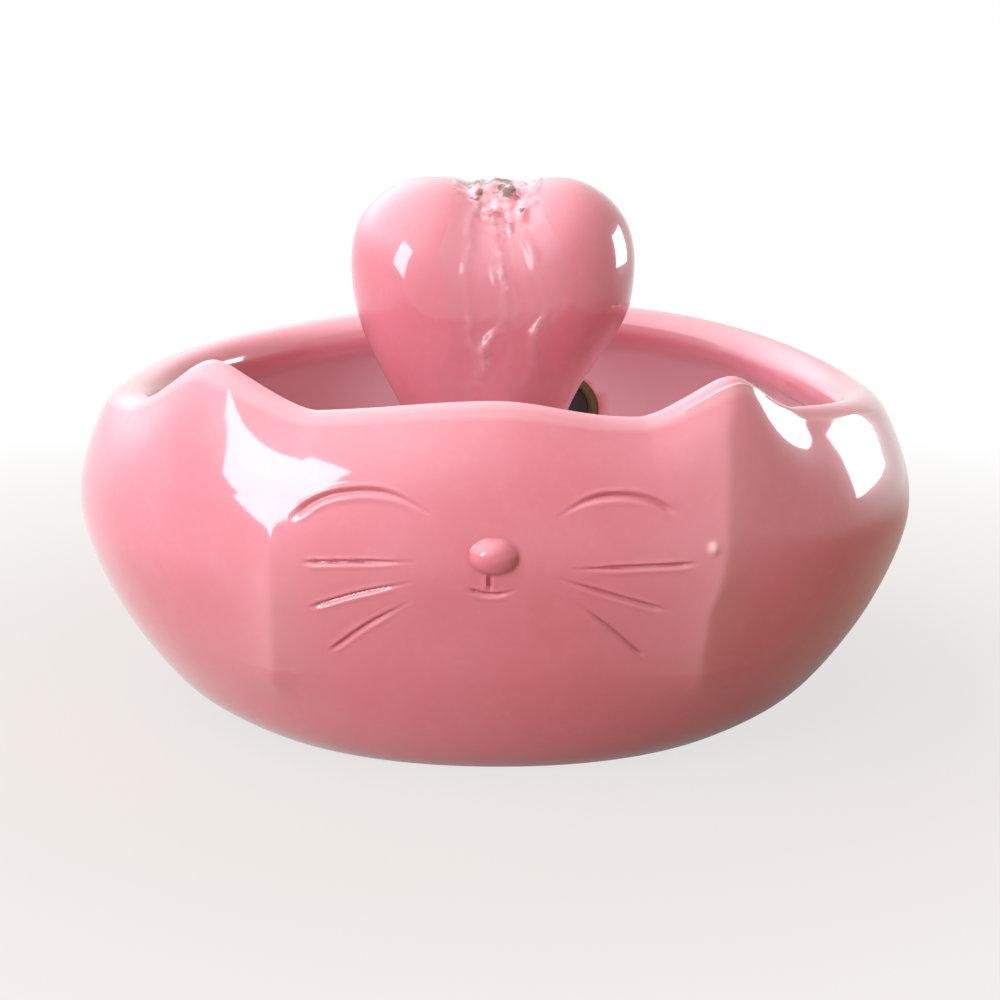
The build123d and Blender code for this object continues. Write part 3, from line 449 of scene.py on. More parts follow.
def bowl_surface(settings):
    """The bowl as a grid of places, with how much glaze has pooled or run thin at each, and where the inside
    is painted paler as painted light.
    """
    side = [0.28 * step for step in range(17)] + [4.9, 5.4, 5.9, 6.4, 6.9, 7.4]
    side += list(np.arange(7.8, 31.0, 0.28)) + list(np.arange(31.2, 38, 0.5)) + list(np.arange(38.6, 61, 1.3))
    side += list(np.linspace(62, 180, 46))
    degrees = [-angle for angle in reversed(side[1:])] + side
    sections = np.array([bowl_section(angle, settings.half_width / MM) for angle in degrees])
    turned = np.radians(degrees)[:, None]
    out, up = sections[:, :, 0], sections[:, :, 1]
    place = np.stack([out * np.sin(turned), -out * np.cos(turned), up], axis=2).transpose(1, 0, 2)
    outward = grid_normals(place)
    belly_row = 60
    outward *= math.copysign(1.0, -outward[belly_row, len(degrees) // 2, 1])

    x, z = place[:, :, 0], place[:, :, 2]
    rows = np.arange(len(place))[:, None]
    on_outside = (rows >= UNDER_ROWS) & (rows < OUTSIDE_END)
    outside = (on_outside & (np.abs(degrees)[None, :] < 75)).astype(float)
    cut = np.zeros(x.shape)
    bead = np.zeros(x.shape)
    drawn = [(line, settings.eye_width / MM, 0.3) for line in EYES]
    drawn += [(line, settings.whisker_width / MM, 0.1) for line in WHISKERS]
    drawn += [(line, settings.whisker_width / MM, 0.0) for line in MOUTH]
    for line, width, hook in drawn:
        deep, raised = engrave(x, z, line, width, hook)
        cut = np.maximum(cut, deep)
        bead = np.maximum(bead, raised)
    rise = (bead * (1 - cut) - cut) * settings.groove_depth / MM

    around = np.broadcast_to(np.array(degrees)[None, :], x.shape)
    distance_out = np.hypot(x, place[:, :, 1])
    ridge = np.zeros(x.shape)
    for crease in CREASES:
        heights, angles, strengths = (np.array(part, float) for part in zip(*crease))
        middle = np.interp(z, heights, angles)
        strong = np.interp(z, heights, strengths)
        away = np.radians(around - middle) * distance_out
        ridge += strong * np.exp(-np.sqrt(away**2 + 0.8**2) / (settings.crease_spread / MM))
    dot = np.hypot(x - CHEEK_BEAD["x"], (z - CHEEK_BEAD["z"]) * 0.8)
    dot = 1 - smooth(dot / CHEEK_BEAD["radius"])
    rise = rise + CHEEK_BEAD["height"] * dot
    fade = smooth((z - 14) / 14)
    rise = rise + ridge * fade * settings.crease_height / MM
    place = place + outward * (rise * outside)[:, :, None]

    # The nose, a low oval button that the glaze runs round.
    sideways = (place[:, :, 0] - NOSE["x"]) / NOSE["half_width"]
    inside_oval = 1 - sideways**2 - ((z - NOSE["z"]) / NOSE["radius"]) ** 2
    dome = NOSE["radius"] * np.sqrt(np.maximum(inside_oval, 0)) - 4 * np.maximum(-inside_oval, 0)
    raised = soft_max(-place[:, :, 1], np.minimum(NOSE["middle"] + dome, NOSE_TIP - 0.03), 0.5)
    near = outside * (inside_oval > -0.5)
    place[:, :, 1] = np.where(near > 0, -np.minimum(raised, NOSE_TIP), place[:, :, 1])

    pooled = cut * outside
    seam = np.exp(-((inside_oval / 0.22) ** 2)) * near
    pooled = np.maximum(pooled, 0.55 * seam)
    lip = (rows >= OUTSIDE_END - 2) & (rows < OUTSIDE_END + 9)
    thin = np.where(lip, 0.22, 0.0) + 0.22 * ridge * outside * (z > 30) + 0.8 * dot * outside
    # Painted light: from just inside the lip down, the whole inside of the bowl is painted paler. This stands
    # in for the light that the rolled rim shades from it. On the lip, the crease ridges and the cheek bead
    # the glaze is only made paler.
    thin = thin + 0.9 * smooth((rows - OUTSIDE_END - 8) / 8.0)
    return place, {"glaze_pool": pooled, "thin_glaze_and_painted_light": np.clip(thin, 0, 1)}


class OBJECT_OT_glazed_bowl(bpy.types.Operator):
    """Make the bowl with its engraved face, nose, creases and bare foot ring"""

    bl_idname = "object.fountain_glazed_bowl"
    bl_label = "Glazed Bowl"

    def execute(self, context):
        place, marks = bowl_surface(context.scene.fountain_bowl)
        mesh = bent_grid(place, marks)
        cutters = []
        for radius, near, far in (
            (GROMMET["neck"], GROMMET["seat"] - 4, GROMMET["outside"] + 4),
            (GROMMET["ring"], GROMMET["seat"] - 8, GROMMET["seat"]),
            (GROMMET["flange"], GROMMET["outside"], GROMMET["outside"] + 8),
        ):
            centre = Vector((GROMMET["x"], (near + far) / 2, GROMMET["z"])) * MM
            turn = Matrix.Translation(centre) @ Matrix.Rotation(math.pi / 2, 4, "X")
            cutters.append(cylinder(radius, far - near, turn))
        mesh = cut_away(mesh, cutters)
        glaze, bisque = pink_glaze(context.scene.fountain_glaze), bare_clay(context.scene.fountain_glaze)
        for face in mesh.faces:
            face.material_index = int(face.calc_center_median().z < FOOT_TOP * MM)
        piece = finish_piece(mesh, "glazed_bowl", [glaze, bisque])
        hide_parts("bowl")
        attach(piece, "bowl")
        return {"FINISHED"}


# ---------------------------------------------------------------- heart
TOP = 150.0
HEART_FOOT = 62.0
LOBE_OFFSET = 17.0
LOBE_RADIUS = 24.0
CLEFT = TOP - LOBE_RADIUS + math.sqrt(LOBE_RADIUS**2 - LOBE_OFFSET**2)
LOBE_TILT = math.atan2(LOBE_OFFSET, TOP - LOBE_RADIUS - HEART_FOOT)
LOBE_LENGTH = math.hypot(LOBE_OFFSET, TOP - LOBE_RADIUS - HEART_FOOT) + LOBE_RADIUS
SHOULDER = 63.5
MIDDLE = (SHOULDER + CLEFT) / 2 + 8
OUTLET_TOP = CLEFT - 3
OUTLET_BOTTOM = OUTLET_TOP - 12
OUTLET_RADIUS = 6.9
DISH_RADIUS = 8.9
COLLAR_RADIUS = 10.9
CENTRE_HEIGHT = 111.0
# The four intake arches: how far out their middles lie, their width, and the centre height of their tops.
ARCH_OUT = 36.0
ARCH_WIDTH = 16.0
ARCH_CENTRE = 16.0
# The fullest radius of a lobe, and how far rays are followed in how many halvings.
LOBE_FULLEST = 24.8
RAY_REACH = 75.0
HALVINGS = 22
# The size of a cell in a turned body's table.
CELL = 0.5


class TurnedBody:
    """Signed distance to a body turned about its own axis, read from a table made from its profile."""

    def __init__(self, profile):
        self.low = profile[:, 1].min() - 8
        self.rho = np.arange(0, 80, CELL)
        self.up = np.arange(self.low, profile[:, 1].max() + 60, CELL)
        rho, up = np.meshgrid(self.rho, self.up, indexing="ij")
        outline = np.vstack([(0, profile[0, 1]), profile])
        best = np.full(rho.shape, 1e9)
        for start, end in zip(outline[:-1], outline[1:]):
            step = end - start
            size = max(float(step @ step), 1e-12)
            t = np.clip(((rho - start[0]) * step[0] + (up - start[1]) * step[1]) / size, 0, 1)
            best = np.minimum(best, np.hypot(rho - start[0] - t * step[0], up - start[1] - t * step[1]))
        order = np.argsort(profile[:, 1])
        edge = np.interp(up, profile[order, 1], profile[order, 0], left=-1, right=-1)
        self.table = np.where(rho < edge, -best, best)

    def distance(self, rho, up):
        """The table's value at each place, blended between its four nearest entries."""
        i = np.clip(rho / CELL, 0, len(self.rho) - 1.001)
        j = np.clip((up - self.low) / CELL, 0, len(self.up) - 1.001)
        a, b = i.astype(int), j.astype(int)
        u, v = i - a, j - b
        t = self.table
        below = t[a, b] * (1 - u) + t[a + 1, b] * u
        above = t[a, b + 1] * (1 - u) + t[a + 1, b + 1] * u
        return below * (1 - v) + above * v


def heart_bodies():
    """The lobe and the middle body that the heart and its pedestal are blended from."""
    lobe = clamped_spline(
        [(0.66 * LOBE_FULLEST, 0), (0.86 * LOBE_FULLEST, 0.28 * LOBE_LENGTH),
         (LOBE_FULLEST, 0.56 * LOBE_LENGTH), (LOBE_RADIUS, LOBE_LENGTH - LOBE_RADIUS),
         (16.8, LOBE_LENGTH - 7.2), (0, LOBE_LENGTH)],
        (0.3, 1), (-1, 0), 160,
    )
    middle = clamped_spline(
        [(37, 12), (35.5, 24), (35, SHOULDER - 8), (32, SHOULDER + 4), (21.5, SHOULDER + 14),
         (20, SHOULDER + 20), (24, MIDDLE), (22.56, CLEFT - 16.8), (12, CLEFT - 2.4), (0, CLEFT)],
        (-0.3, 1), (-1, 0), 240,
    )
    return TurnedBody(lobe), TurnedBody(middle)


LOBE_BODY, MIDDLE_BODY = heart_bodies()


def heart_distance(x, y, z, blend):
    """Signed distance to the heart's outside, its lobes softly run together."""
    lobes = []
    for side in (-1, 1):
        tilt = LOBE_TILT * side
        up = x * math.sin(tilt) + (z - HEART_FOOT) * math.cos(tilt)
        across = x * math.cos(tilt) - (z - HEART_FOOT) * math.sin(tilt)
        lobes.append(LOBE_BODY.distance(np.hypot(across, y), up))
    middle = MIDDLE_BODY.distance(np.hypot(x, y), z)
    return soft_min(soft_min(lobes[0], lobes[1], blend), middle, blend)


def cast(origin, direction, blend, depth=0.0):
    """Where rays from inside the heart cross the surface that lies that deep under its skin."""
    low = np.zeros(direction.shape[:-1])
    high = np.full(direction.shape[:-1], RAY_REACH)
    for _ in range(HALVINGS):
        half = (low + high) / 2
        at = origin + direction * half[..., None]
        inside = heart_distance(at[..., 0], at[..., 1], at[..., 2], blend) < -depth
        low = np.where(inside, half, low)
        high = np.where(inside, high, half)
    return origin + direction * ((low + high) / 2)[..., None]


def hand_shaped(place):
    """Where the heart is not even: its right side drawn in over the neck, its left lobe a little fuller."""
    x, z = place[..., 0].copy(), place[..., 2]
    place[..., 0] -= 6.0 * smooth((115 - z) / 29) * smooth((z - 62) / 14) * smooth(x / 18)
    place[..., 0] -= 1.8 * smooth((-x - 12) / 20) * smooth((z - 80) / 30)
    return place


def side_rays(angles, heights, blend, depth=0.0):
    """Surface places level with the axis at the given heights, rows by angles."""
    origin = np.zeros((len(heights), len(angles), 3))
    origin[:, :, 2] = np.array(heights)[:, None]
    direction = np.stack(np.broadcast_arrays(np.sin(angles), -np.cos(angles), 0 * angles), axis=-1)
    return hand_shaped(cast(origin, np.broadcast_to(direction, origin.shape), blend, depth))


def top_rays(angles, shares, blend, depth=0.0, stop_radius=None):
    """Surface places over the heart's middle, from level (0) to the outlet's edge or straight up (1)."""
    highest = np.full(len(angles), math.pi / 2)
    if stop_radius:
        # Level of the skin above each point of the outlet's edge, found from straight above.
        z = np.linspace(CENTRE_HEIGHT, 152, 900)[:, None]
        x, y = stop_radius * np.sin(angles)[None, :], -stop_radius * np.cos(angles)[None, :]
        inside = heart_distance(x + 0 * z, y + 0 * z, z + 0 * x, blend) < -depth
        level = CENTRE_HEIGHT + (152 - CENTRE_HEIGHT) * inside.sum(axis=0) / len(z)
        highest = np.arctan2(level - CENTRE_HEIGHT, stop_radius)
    lift = np.array(shares)[:, None] * highest[None, :]
    level = np.cos(lift)
    direction = np.stack([level * np.sin(angles), -level * np.cos(angles), np.sin(lift)], axis=-1)
    origin = np.zeros(direction.shape)
    origin[:, :, 2] = CENTRE_HEIGHT
    return hand_shaped(cast(origin, direction, blend, depth))


def ring(radius, height, angles):
    """One row of the grid, level and round the axis."""
    return np.stack([radius * np.sin(angles), -radius * np.cos(angles), height + 0 * angles], axis=-1)[None]


def heart_surface(settings):
    """The heart's outside, outlet and inside as one closed grid of places."""
    angles = np.radians(np.linspace(-180, 180, 241))
    blend = settings.blend / MM
    wall = settings.wall / MM
    heights = np.concatenate([[12.9, 14, 16, 19], np.linspace(22, CENTRE_HEIGHT, 76)])
    outer = side_rays(angles, heights, blend)
    foot = np.hypot(outer[0, :, 0], outer[0, :, 1])
    rounded = [ring(foot - 1.0, SEAT_FLOOR, angles), ring(foot - 0.35, SEAT_FLOOR + 0.18, angles)]
    dome = top_rays(angles, np.linspace(0, 1, 44)[1:], blend, stop_radius=DISH_RADIUS + 0.6)
    edge = dome[-1].copy()
    rim = []
    for inward, down in ((0.25, 0.1), (0.45, 0.3), (0.58, 0.6)):
        place = ring(DISH_RADIUS + 0.6 - inward, 0, angles)
        place[0, :, 2] = edge[:, 2] - down
        rim.append(place)
    for share in (0.35, 0.75):
        place = ring(DISH_RADIUS, 0, angles)
        place[0, :, 2] = (edge[:, 2] - 0.6) * (1 - share) + OUTLET_TOP * share
        rim.append(place)
    dish = [ring(DISH_RADIUS, OUTLET_TOP + 0.4, angles), ring(DISH_RADIUS - 0.5, OUTLET_TOP, angles)]
    dish += [ring(OUTLET_RADIUS + 0.4, OUTLET_TOP, angles), ring(OUTLET_RADIUS, OUTLET_TOP - 0.4, angles)]
    bore = [ring(OUTLET_RADIUS, height, angles) for height in (OUTLET_TOP - 6, OUTLET_BOTTOM)]
    collar = [ring(COLLAR_RADIUS, height, angles) for height in (OUTLET_BOTTOM, OUTLET_BOTTOM + 4)]
    ceiling = top_rays(angles, np.linspace(1, 0, 16), blend, wall, stop_radius=COLLAR_RADIUS)
    # The hollow is open at the foot, so the rays end above it and straight rows go on from there.
    inner = side_rays(angles, np.linspace(CENTRE_HEIGHT - 4, 20, 25), blend, wall)
    throat = np.hypot(inner[-1, :, 0], inner[-1, :, 1])
    mouth = foot - wall
    closing = [ring((throat + mouth) / 2, 16, angles), ring(mouth, SEAT_FLOOR, angles), rounded[0]]
    return np.concatenate([*rounded, outer, dome, *rim, *dish, *bore, *collar, ceiling, inner, *closing])


class OBJECT_OT_glazed_heart(bpy.types.Operator):
    """Make the hollow heart with its pedestal, outlet and intake arches"""

    bl_idname = "object.fountain_glazed_heart"
    bl_label = "Glazed Heart"

    def execute(self, context):
        mesh = bent_grid(heart_surface(context.scene.fountain_heart))
        cutters = []
        for quarter in range(4):
            turn = Matrix.Rotation(quarter * math.pi / 2, 4, "Z")
            round_top = turn @ Matrix.Translation(Vector((0, -ARCH_OUT, ARCH_CENTRE)) * MM)
            round_top = round_top @ Matrix.Rotation(math.pi / 2, 4, "X")
            cutters.append(cylinder(ARCH_WIDTH / 2, ARCH_WIDTH, round_top))
            post = bmesh.new()
            low = turn @ Matrix.Translation(Vector((0, -ARCH_OUT, 13.5)) * MM)
            sides = Matrix.Diagonal((ARCH_WIDTH * MM, ARCH_WIDTH * MM, 5 * MM, 1))
            bmesh.ops.create_cube(post, size=1, matrix=low @ sides)
            cutters.append(post)
        mesh = cut_away(mesh, cutters)
        for face in mesh.faces:
            face.material_index = int(face.calc_center_median().z < (SEAT_FLOOR + 0.05) * MM)
        glaze, bisque = pink_glaze(context.scene.fountain_glaze), bare_clay(context.scene.fountain_glaze)
        piece = finish_piece(mesh, "glazed_heart", [glaze, bisque])
        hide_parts("heart_spout")
        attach(piece, "spout")
        return {"FINISHED"}


# ---------------------------------------------------------------- running water
# Strands in the running water, each as its middle line (x at heights) with its width and its strength.
STRANDS = (
    (
        (150, -6.0), (132, -7.5), (118, -8.4), (104, -6.0), (88, -7.0), (60, -9.0),
        1.9, 0.6,
    ),
    (
        (150, 0.5), (134, -0.5), (127, 1.0), (119, 3.4), (110, 2.0), (103, -3.2), (88, -4.5), (60, -6.0),
        2.4, 1.0,
    ),
    (
        (150, 6.0), (134, 8.5), (127, 11.0), (116, 15.2), (108, 11.5), (96, 9.0), (60, 8.0),
        2.0, 0.7,
    ),
    (
        (150, 3.0), (130, 5.0), (112, 6.5), (98, 3.0), (84, 4.0), (60, 3.0),
        1.6, 0.5,
    ),
)
# The water's grid: its columns round the heart, the one at the front, and the rows over the cleft.
WATER_COLUMNS = 289
FRONT_COLUMN = WATER_COLUMNS // 2
CLEFT_ROWS = 74
# How high the froth may stand.
FROTH_TOP = 149.9


def water_thickness(place, settings):
    """How thick the running water is over each place of the heart, and how milky. It is less than nothing
    where the heart is dry."""
    x, y, z = place[..., 0], place[..., 1], place[..., 2]
    front = np.where(y < 0, 1.0, -1.0)
    across = x * front
    film, rope = settings.film / MM, settings.rope / MM
    half_width = np.interp(z, (50, 80, 100, 125, 138, 146), (17, 15, 15.5, 17, 14, 13))
    lean = np.interp(z, (50, 95, 112, 125, 140), (0, 0, 2.5, 2.5, 0.5))
    wander = 1.2 * np.sin(z / 6.5 + 0.6) + 0.7 * np.sin(z / 2.9)
    edge = half_width + wander - np.abs(across - lean)
    thick = film * (0.7 + 0.3 * np.sin(z / 3.3 + across / 2.1) * np.sin(across / 1.7 + z / 7))
    milky = np.zeros(x.shape)
    for strand in STRANDS:
        *points, width, strength = strand
        heights, middles = zip(*sorted(points))
        away = across - np.interp(z, heights, middles) - 0.5 * np.sin(z / 2.3 + width)
        lumpy = 0.7 + 0.3 * np.sin(z / 3.7 + 5 * width)
        swollen = strength * lumpy * np.exp(-((away / width) ** 2)) * smooth((146 - z) / 6)
        thick = thick + rope * swollen
        milky = np.maximum(milky, swollen)
    # Nothing stands at the film's edge: it thins out to the wet glaze and then dips under it.
    wet = thick * smooth(edge / 6.0) - 0.9 * smooth(-edge / 3.0)
    fade_down = smooth((z - 50) / 8)
    return -0.9 + (wet + 0.9) * fade_down, milky * smooth((z - 84) / 20) * (edge > 0)


def water_surface(settings):
    """The water that wells up in the cleft and runs down both faces, as one closed grid of places."""
    angles = np.radians(np.linspace(-180, 180, WATER_COLUMNS))
    blend = settings.blend / MM
    down = side_rays(angles, np.linspace(50, CENTRE_HEIGHT, 84), blend)
    over = top_rays(angles, np.linspace(0, 1, 60)[1:], blend)
    skin = np.concatenate([down, over])
    outward = grid_normals(skin)
    outward *= math.copysign(1.0, -outward[10, FRONT_COLUMN, 1])
    outward[-1] = (0, 0, 1)
    thick, milky = water_thickness(skin, settings)
    outer = skin + outward * thick[..., None]
    # The well itself: a seething mound that fills the cleft and breaks over its front and back.
    first = len(skin) - CLEFT_ROWS
    x, y = outer[..., 0], outer[..., 1]
    rough = np.zeros(x.shape)
    ragged = np.zeros(x.shape)
    for row in range(first, len(skin)):
        for column in range(skin.shape[1]):
            place = Vector(outer[row, column])
            fine = noise.noise(place / 2.3 + Vector((7, 3, 1)))
            rough[row, column] = noise.noise(place / 4.6) * 2.0 + fine * 0.6
            ragged[row, column] = noise.noise(place / 5.0 + Vector((2, 9, 4)))
    reach = np.clip(1 - (np.abs(x) / 13.5) ** 4 - (np.abs(y) / 17.0) ** 4, 0, 1) ** 0.35
    level = np.minimum(148.6 + 0.8 * rough, FROTH_TOP - 0.1) * reach + 120 * (1 - reach)
    lifted = (reach > 0) & (np.arange(len(skin))[:, None] >= first)
    # It is wide between the lobes and runs out in a ragged wedge down the front and the back.
    height = outer[..., 2]
    reaches = np.interp(height, (132, 136, 140, 144, 149), (1.5, 4.5, 7.5, 11.0, 14.0)) + 5.0 * ragged
    lean = np.where(y < 0, 1.0, -1.0) * np.interp(height, (132, 149), (2.5, 0.0))
    seething = smooth((reaches - np.abs(x - lean)) / 3.5) * smooth((height - 131 - 6 * ragged) / 5)
    seething = seething * smooth((14.2 - np.abs(x)) / 2)
    outer = outer + outward * (np.maximum(0.9 + 0.8 * rough, 0.15) * seething * (1 - reach))[..., None]
    outer[..., 2] = np.where(lifted, soft_max(outer[..., 2], level, 1.5), outer[..., 2])
    outer[..., 2] = np.minimum(outer[..., 2], FROTH_TOP)
    outer[-1] = outer[-1].mean(axis=0)
    inner = skin - outward * 1.0
    inner[-1] = inner[-1].mean(axis=0)
    outer[0] = inner[0]
    return outer, inner, np.maximum(seething, 0.55 * milky)


class OBJECT_OT_running_water(bpy.types.Operator):
    """Make the water that wells out of the heart and runs down it"""

    bl_idname = "object.fountain_running_water"
    bl_label = "Running Water"

    def execute(self, context):
        outer, inner, foam = water_surface(context.scene.fountain_heart)
        closed = np.concatenate([outer, inner[::-1]])
        marks = np.concatenate([foam, 0 * foam])
        mesh = bent_grid(closed, {"foam": marks})
        piece = finish_piece(mesh, "running_water", [stirred_water()], sharp_over=80)
        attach(piece, "spout")
        return {"FINISHED"}


WATER_LEVEL = 53.5


def basin_surface(settings):
    """The water in the bowl as one closed grid: rippled on top, its sides just inside the glaze."""
    degrees = np.linspace(-180, 180, 145)
    places = []
    for angle in degrees:
        section = bowl_section(angle, settings.half_width / MM)
        inner = section[-INNER_ROWS - 1 - FLOOR_ROWS : -FLOOR_ROWS]
        heights = np.array([WATER_LEVEL, *np.linspace(WATER_LEVEL - 1, 14.5, 14)])
        edge, *glaze = np.interp(-heights, -inner[:, 1], inner[:, 0])
        wall = [(out + 0.3, z) for out, z in zip(glaze, heights[1:])]
        # The meniscus climbs the glaze by about a millimetre.
        top = [(edge * t, WATER_LEVEL) for t in np.linspace(0, 1, 46)[:-1] ** 0.8]
        top += [(edge + past, WATER_LEVEL + climb) for past, climb in ((-1.6, 0.1), (-0.6, 0.5), (0.3, 1.0))]
        bottom = [(wall[-1][0] - 3, 12.6), (50, 12.55), (36, 12.5), (0, 12.5)]
        places.append(top + wall + bottom)
    sections = np.array(places)
    turned = np.radians(degrees)[:, None]
    out, up = sections[:, :, 0], sections[:, :, 1].copy()
    x, y = out * np.sin(turned), -out * np.cos(turned)
    # Ripples spread from where the two streams meet the basin.
    near = np.minimum(np.hypot(x, y + 38), np.hypot(x, y - 38))
    ripple = 0.35 * np.sin(near / 1.9) * np.exp(-near / 26) + 0.08 * np.sin(x / 3.1 + y / 4.7)
    up += np.where(up == WATER_LEVEL, ripple, 0.0)
    return np.stack([x, y, up], axis=2).transpose(1, 0, 2)


class OBJECT_OT_basin_water(bpy.types.Operator):
    """Make the drinking water that stands in the bowl"""

    bl_idname = "object.fountain_basin_water"
    bl_label = "Basin Water"

    def execute(self, context):
        place = basin_surface(context.scene.fountain_bowl)
        mesh = bent_grid(place, {"foam": np.zeros(place.shape[:2])})
        piece = finish_piece(mesh, "basin_water", [stirred_water()], sharp_over=80)
        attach(piece, "bowl")
        return {"FINISHED"}


# ---------------------------------------------------------------- materials
def add(tree, kind, settings=None, **links):
    """One node with its settings and links. A setting is a socket's or a property's name, or a socket's
    number, with its value, or with the output that is linked to it."""
    node = tree.nodes.new("ShaderNode" + kind)
    linked = {name.replace("_", " "): output for name, output in links.items()}
    for name, value in [*(settings or {}).items(), *linked.items()]:
        if isinstance(value, bpy.types.NodeSocket):
            tree.links.new(value, node.inputs[name])
        elif isinstance(name, int) or name in node.inputs:
            node.inputs[name].default_value = value
        else:
            setattr(node, name, value)
    return node


def new_material(name):
    """A material with an empty node tree but for the place of every point in metres."""
    material = bpy.data.materials.new(name)
    material.use_nodes = True
    tree = material.node_tree
    tree.nodes.clear()
    where = add(tree, "TexCoord").outputs["Object"]
    return material, tree, where


def blend_colours(tree, value, low, high, first, second, most=1.0):
    """The first colour turning into the second as the value rises from low to high."""
    stretched = {"Value": value, "From Min": low, "From Max": high, "To Min": 0.0, "To Max": most}
    share = add(tree, "MapRange", stretched).outputs["Result"]
    return add(tree, "Mix", {"data_type": "RGBA", "Factor": share, 6: first, 7: second}).outputs[2]


def pink_glaze(settings):
    """Pink glaze on slip-cast earthenware, fired glossy: a thick clear coat over even colour, darker where it
    pools in the engraved lines and paler where it runs off the edges, with painted light making the inside of
    the bowl paler."""
    if "pink_glazed_earthenware" in bpy.data.materials:
        return bpy.data.materials["pink_glazed_earthenware"]
    material, tree, where = new_material("pink_glazed_earthenware")
    # Cloudy patches about 30 mm across, and the fine mottle of 3 mm that a sprayed glaze dries with.
    cloud = add(tree, "TexNoise", {"Scale": 32.0, "Detail": 2.0}, Vector=where).outputs[0]
    mottle = add(tree, "TexNoise", {"Scale": 330.0, "Detail": 3.0}, Vector=where).outputs[0]
    base = blend_colours(tree, cloud, 0.35, 0.65, tuple(settings.body), tuple(settings.warm))
    base = blend_colours(tree, mottle, 0.5, 0.75, base, tuple(settings.thin), most=0.035)
    # Painted light: this mark paints the inside of the bowl paler, standing in for the light that the rim
    # shades from it. On the lip, the crease ridges and the cheek bead it makes the glaze paler.
    thin = add(tree, "Attribute", {"attribute_name": "thin_glaze_and_painted_light"}).outputs["Fac"]
    base = blend_colours(tree, thin, 0, 1, base, tuple(settings.thin), most=0.85)
    pool = add(tree, "Attribute", {"attribute_name": "glaze_pool"}).outputs["Fac"]
    base = blend_colours(tree, pool, 0, 1, base, tuple(settings.pooled), most=0.38)
    # Orange peel of 6 mm and long swells of 25 mm, far under a tenth of a millimetre high.
    peel = add(tree, "TexNoise", {"Scale": 160.0, "Detail": 1.0}, Vector=where).outputs[0]
    swells = add(tree, "TexNoise", {"Scale": 40.0, "Detail": 0.0}, Vector=where).outputs[0]
    first = add(tree, "Bump", {"Strength": 0.04, "Distance": 0.0005}, Height=peel).outputs[0]
    bump = add(tree, "Bump", {"Strength": 0.06, "Distance": 0.0012}, Height=swells, Normal=first)
    shader = add(
        tree, "BsdfPrincipled",
        {"IOR": 1.5, "Specular IOR Level": 0.15, "Roughness": 0.3, "Coat Weight": 1.0,
         "Coat Roughness": 0.06, "Coat IOR": 1.5, "Subsurface Weight": 0.06, "Subsurface Scale": 0.002},
        Base_Color=base, Normal=bump.outputs[0], Coat_Normal=bump.outputs[0],
    )
    add(tree, "OutputMaterial", Surface=shader.outputs[0])
    return material


def bare_clay(settings):
    """Bisque earthenware, unglazed and sponged smooth: cream, dead matt, with a fine grit."""
    if "bisque_earthenware" in bpy.data.materials:
        return bpy.data.materials["bisque_earthenware"]
    material, tree, where = new_material("bisque_earthenware")
    grit = add(tree, "TexNoise", {"Scale": 1500.0, "Detail": 4.0}, Vector=where).outputs[0]
    base = blend_colours(tree, grit, 0.35, 0.7, tuple(settings.bisque), linear("CDB89C"))
    bump = add(tree, "Bump", {"Strength": 0.4, "Distance": 0.0002}, Height=grit).outputs[0]
    matt = {"Roughness": 0.9, "IOR": 1.5}
    shader = add(tree, "BsdfPrincipled", matt, Base_Color=base, Normal=bump)
    add(tree, "OutputMaterial", Surface=shader.outputs[0])
    return material


def stirred_water():
    """Water stirred by the pump: clear with an index of 1.33, pale with small bubbles where it wells up."""
    if "stirred_water" in bpy.data.materials:
        return bpy.data.materials["stirred_water"]
    material, tree, where = new_material("stirred_water")
    cells = add(tree, "TexVoronoi", {"Scale": 420.0}, Vector=where).outputs["Distance"]
    froth = add(tree, "TexNoise", {"Scale": 190.0, "Detail": 3.0}, Vector=where).outputs[0]
    foam = add(tree, "Attribute", {"attribute_name": "foam"}).outputs["Fac"]
    gathered = {"Value": froth, "From Min": 0.28, "From Max": 0.5}
    gathered = add(tree, "MapRange", gathered).outputs["Result"]
    patchy = add(tree, "Math", {"operation": "MULTIPLY", 0: gathered, 1: foam})
    ripple = add(tree, "Bump", {"Strength": 0.25, "Distance": 0.0006}, Height=froth).outputs[0]
    bubbles = add(tree, "Bump", {"Strength": 0.3, "Distance": 0.0006}, Height=cells, Normal=ripple)
    clear = add(
        tree, "BsdfPrincipled",
        {"Base Color": linear("F4F8F8"), "IOR": 1.33, "Roughness": 0.02, "Transmission Weight": 1.0},
        Normal=ripple,
    )
    # Froth is pale and pinkish, with painted reflection: dark brown patches that stand in for the dark room
    # mirrored in the water.
    painted_reflection_noise = add(tree, "TexNoise", {"Scale": 170.0, "Detail": 2.0}, Vector=where).outputs[0]
    tint = blend_colours(tree, cells, 0.1, 0.6, linear("EDBFC9"), linear("D895A2"))
    deep = add(tree, "Math", {"operation": "MULTIPLY", 0: painted_reflection_noise, 1: foam}).outputs[0]
    tint = blend_colours(tree, deep, 0.53, 0.59, tint, linear("6B3A37"))
    white = add(
        tree, "BsdfPrincipled",
        {"IOR": 1.33, "Roughness": 0.12, "Coat Weight": 0.6, "Coat Roughness": 0.05},
        Base_Color=tint, Normal=bubbles.outputs[0],
    )
    through = add(tree, "BsdfTransparent")
    light_path = add(tree, "LightPath")
    shader = {0: patchy.outputs[0], 1: clear.outputs[0], 2: white.outputs[0]}
    shader = add(tree, "MixShader", shader)
    # Lamp light and scattered light pass through the water instead of being stopped by it.
    for kind in ("Is Diffuse Ray", "Is Shadow Ray"):
        passing = {0: light_path.outputs[kind], 1: shader.outputs[0], 2: through.outputs[0]}
        shader = add(tree, "MixShader", passing)
    add(tree, "OutputMaterial", Surface=shader.outputs[0])
    return material


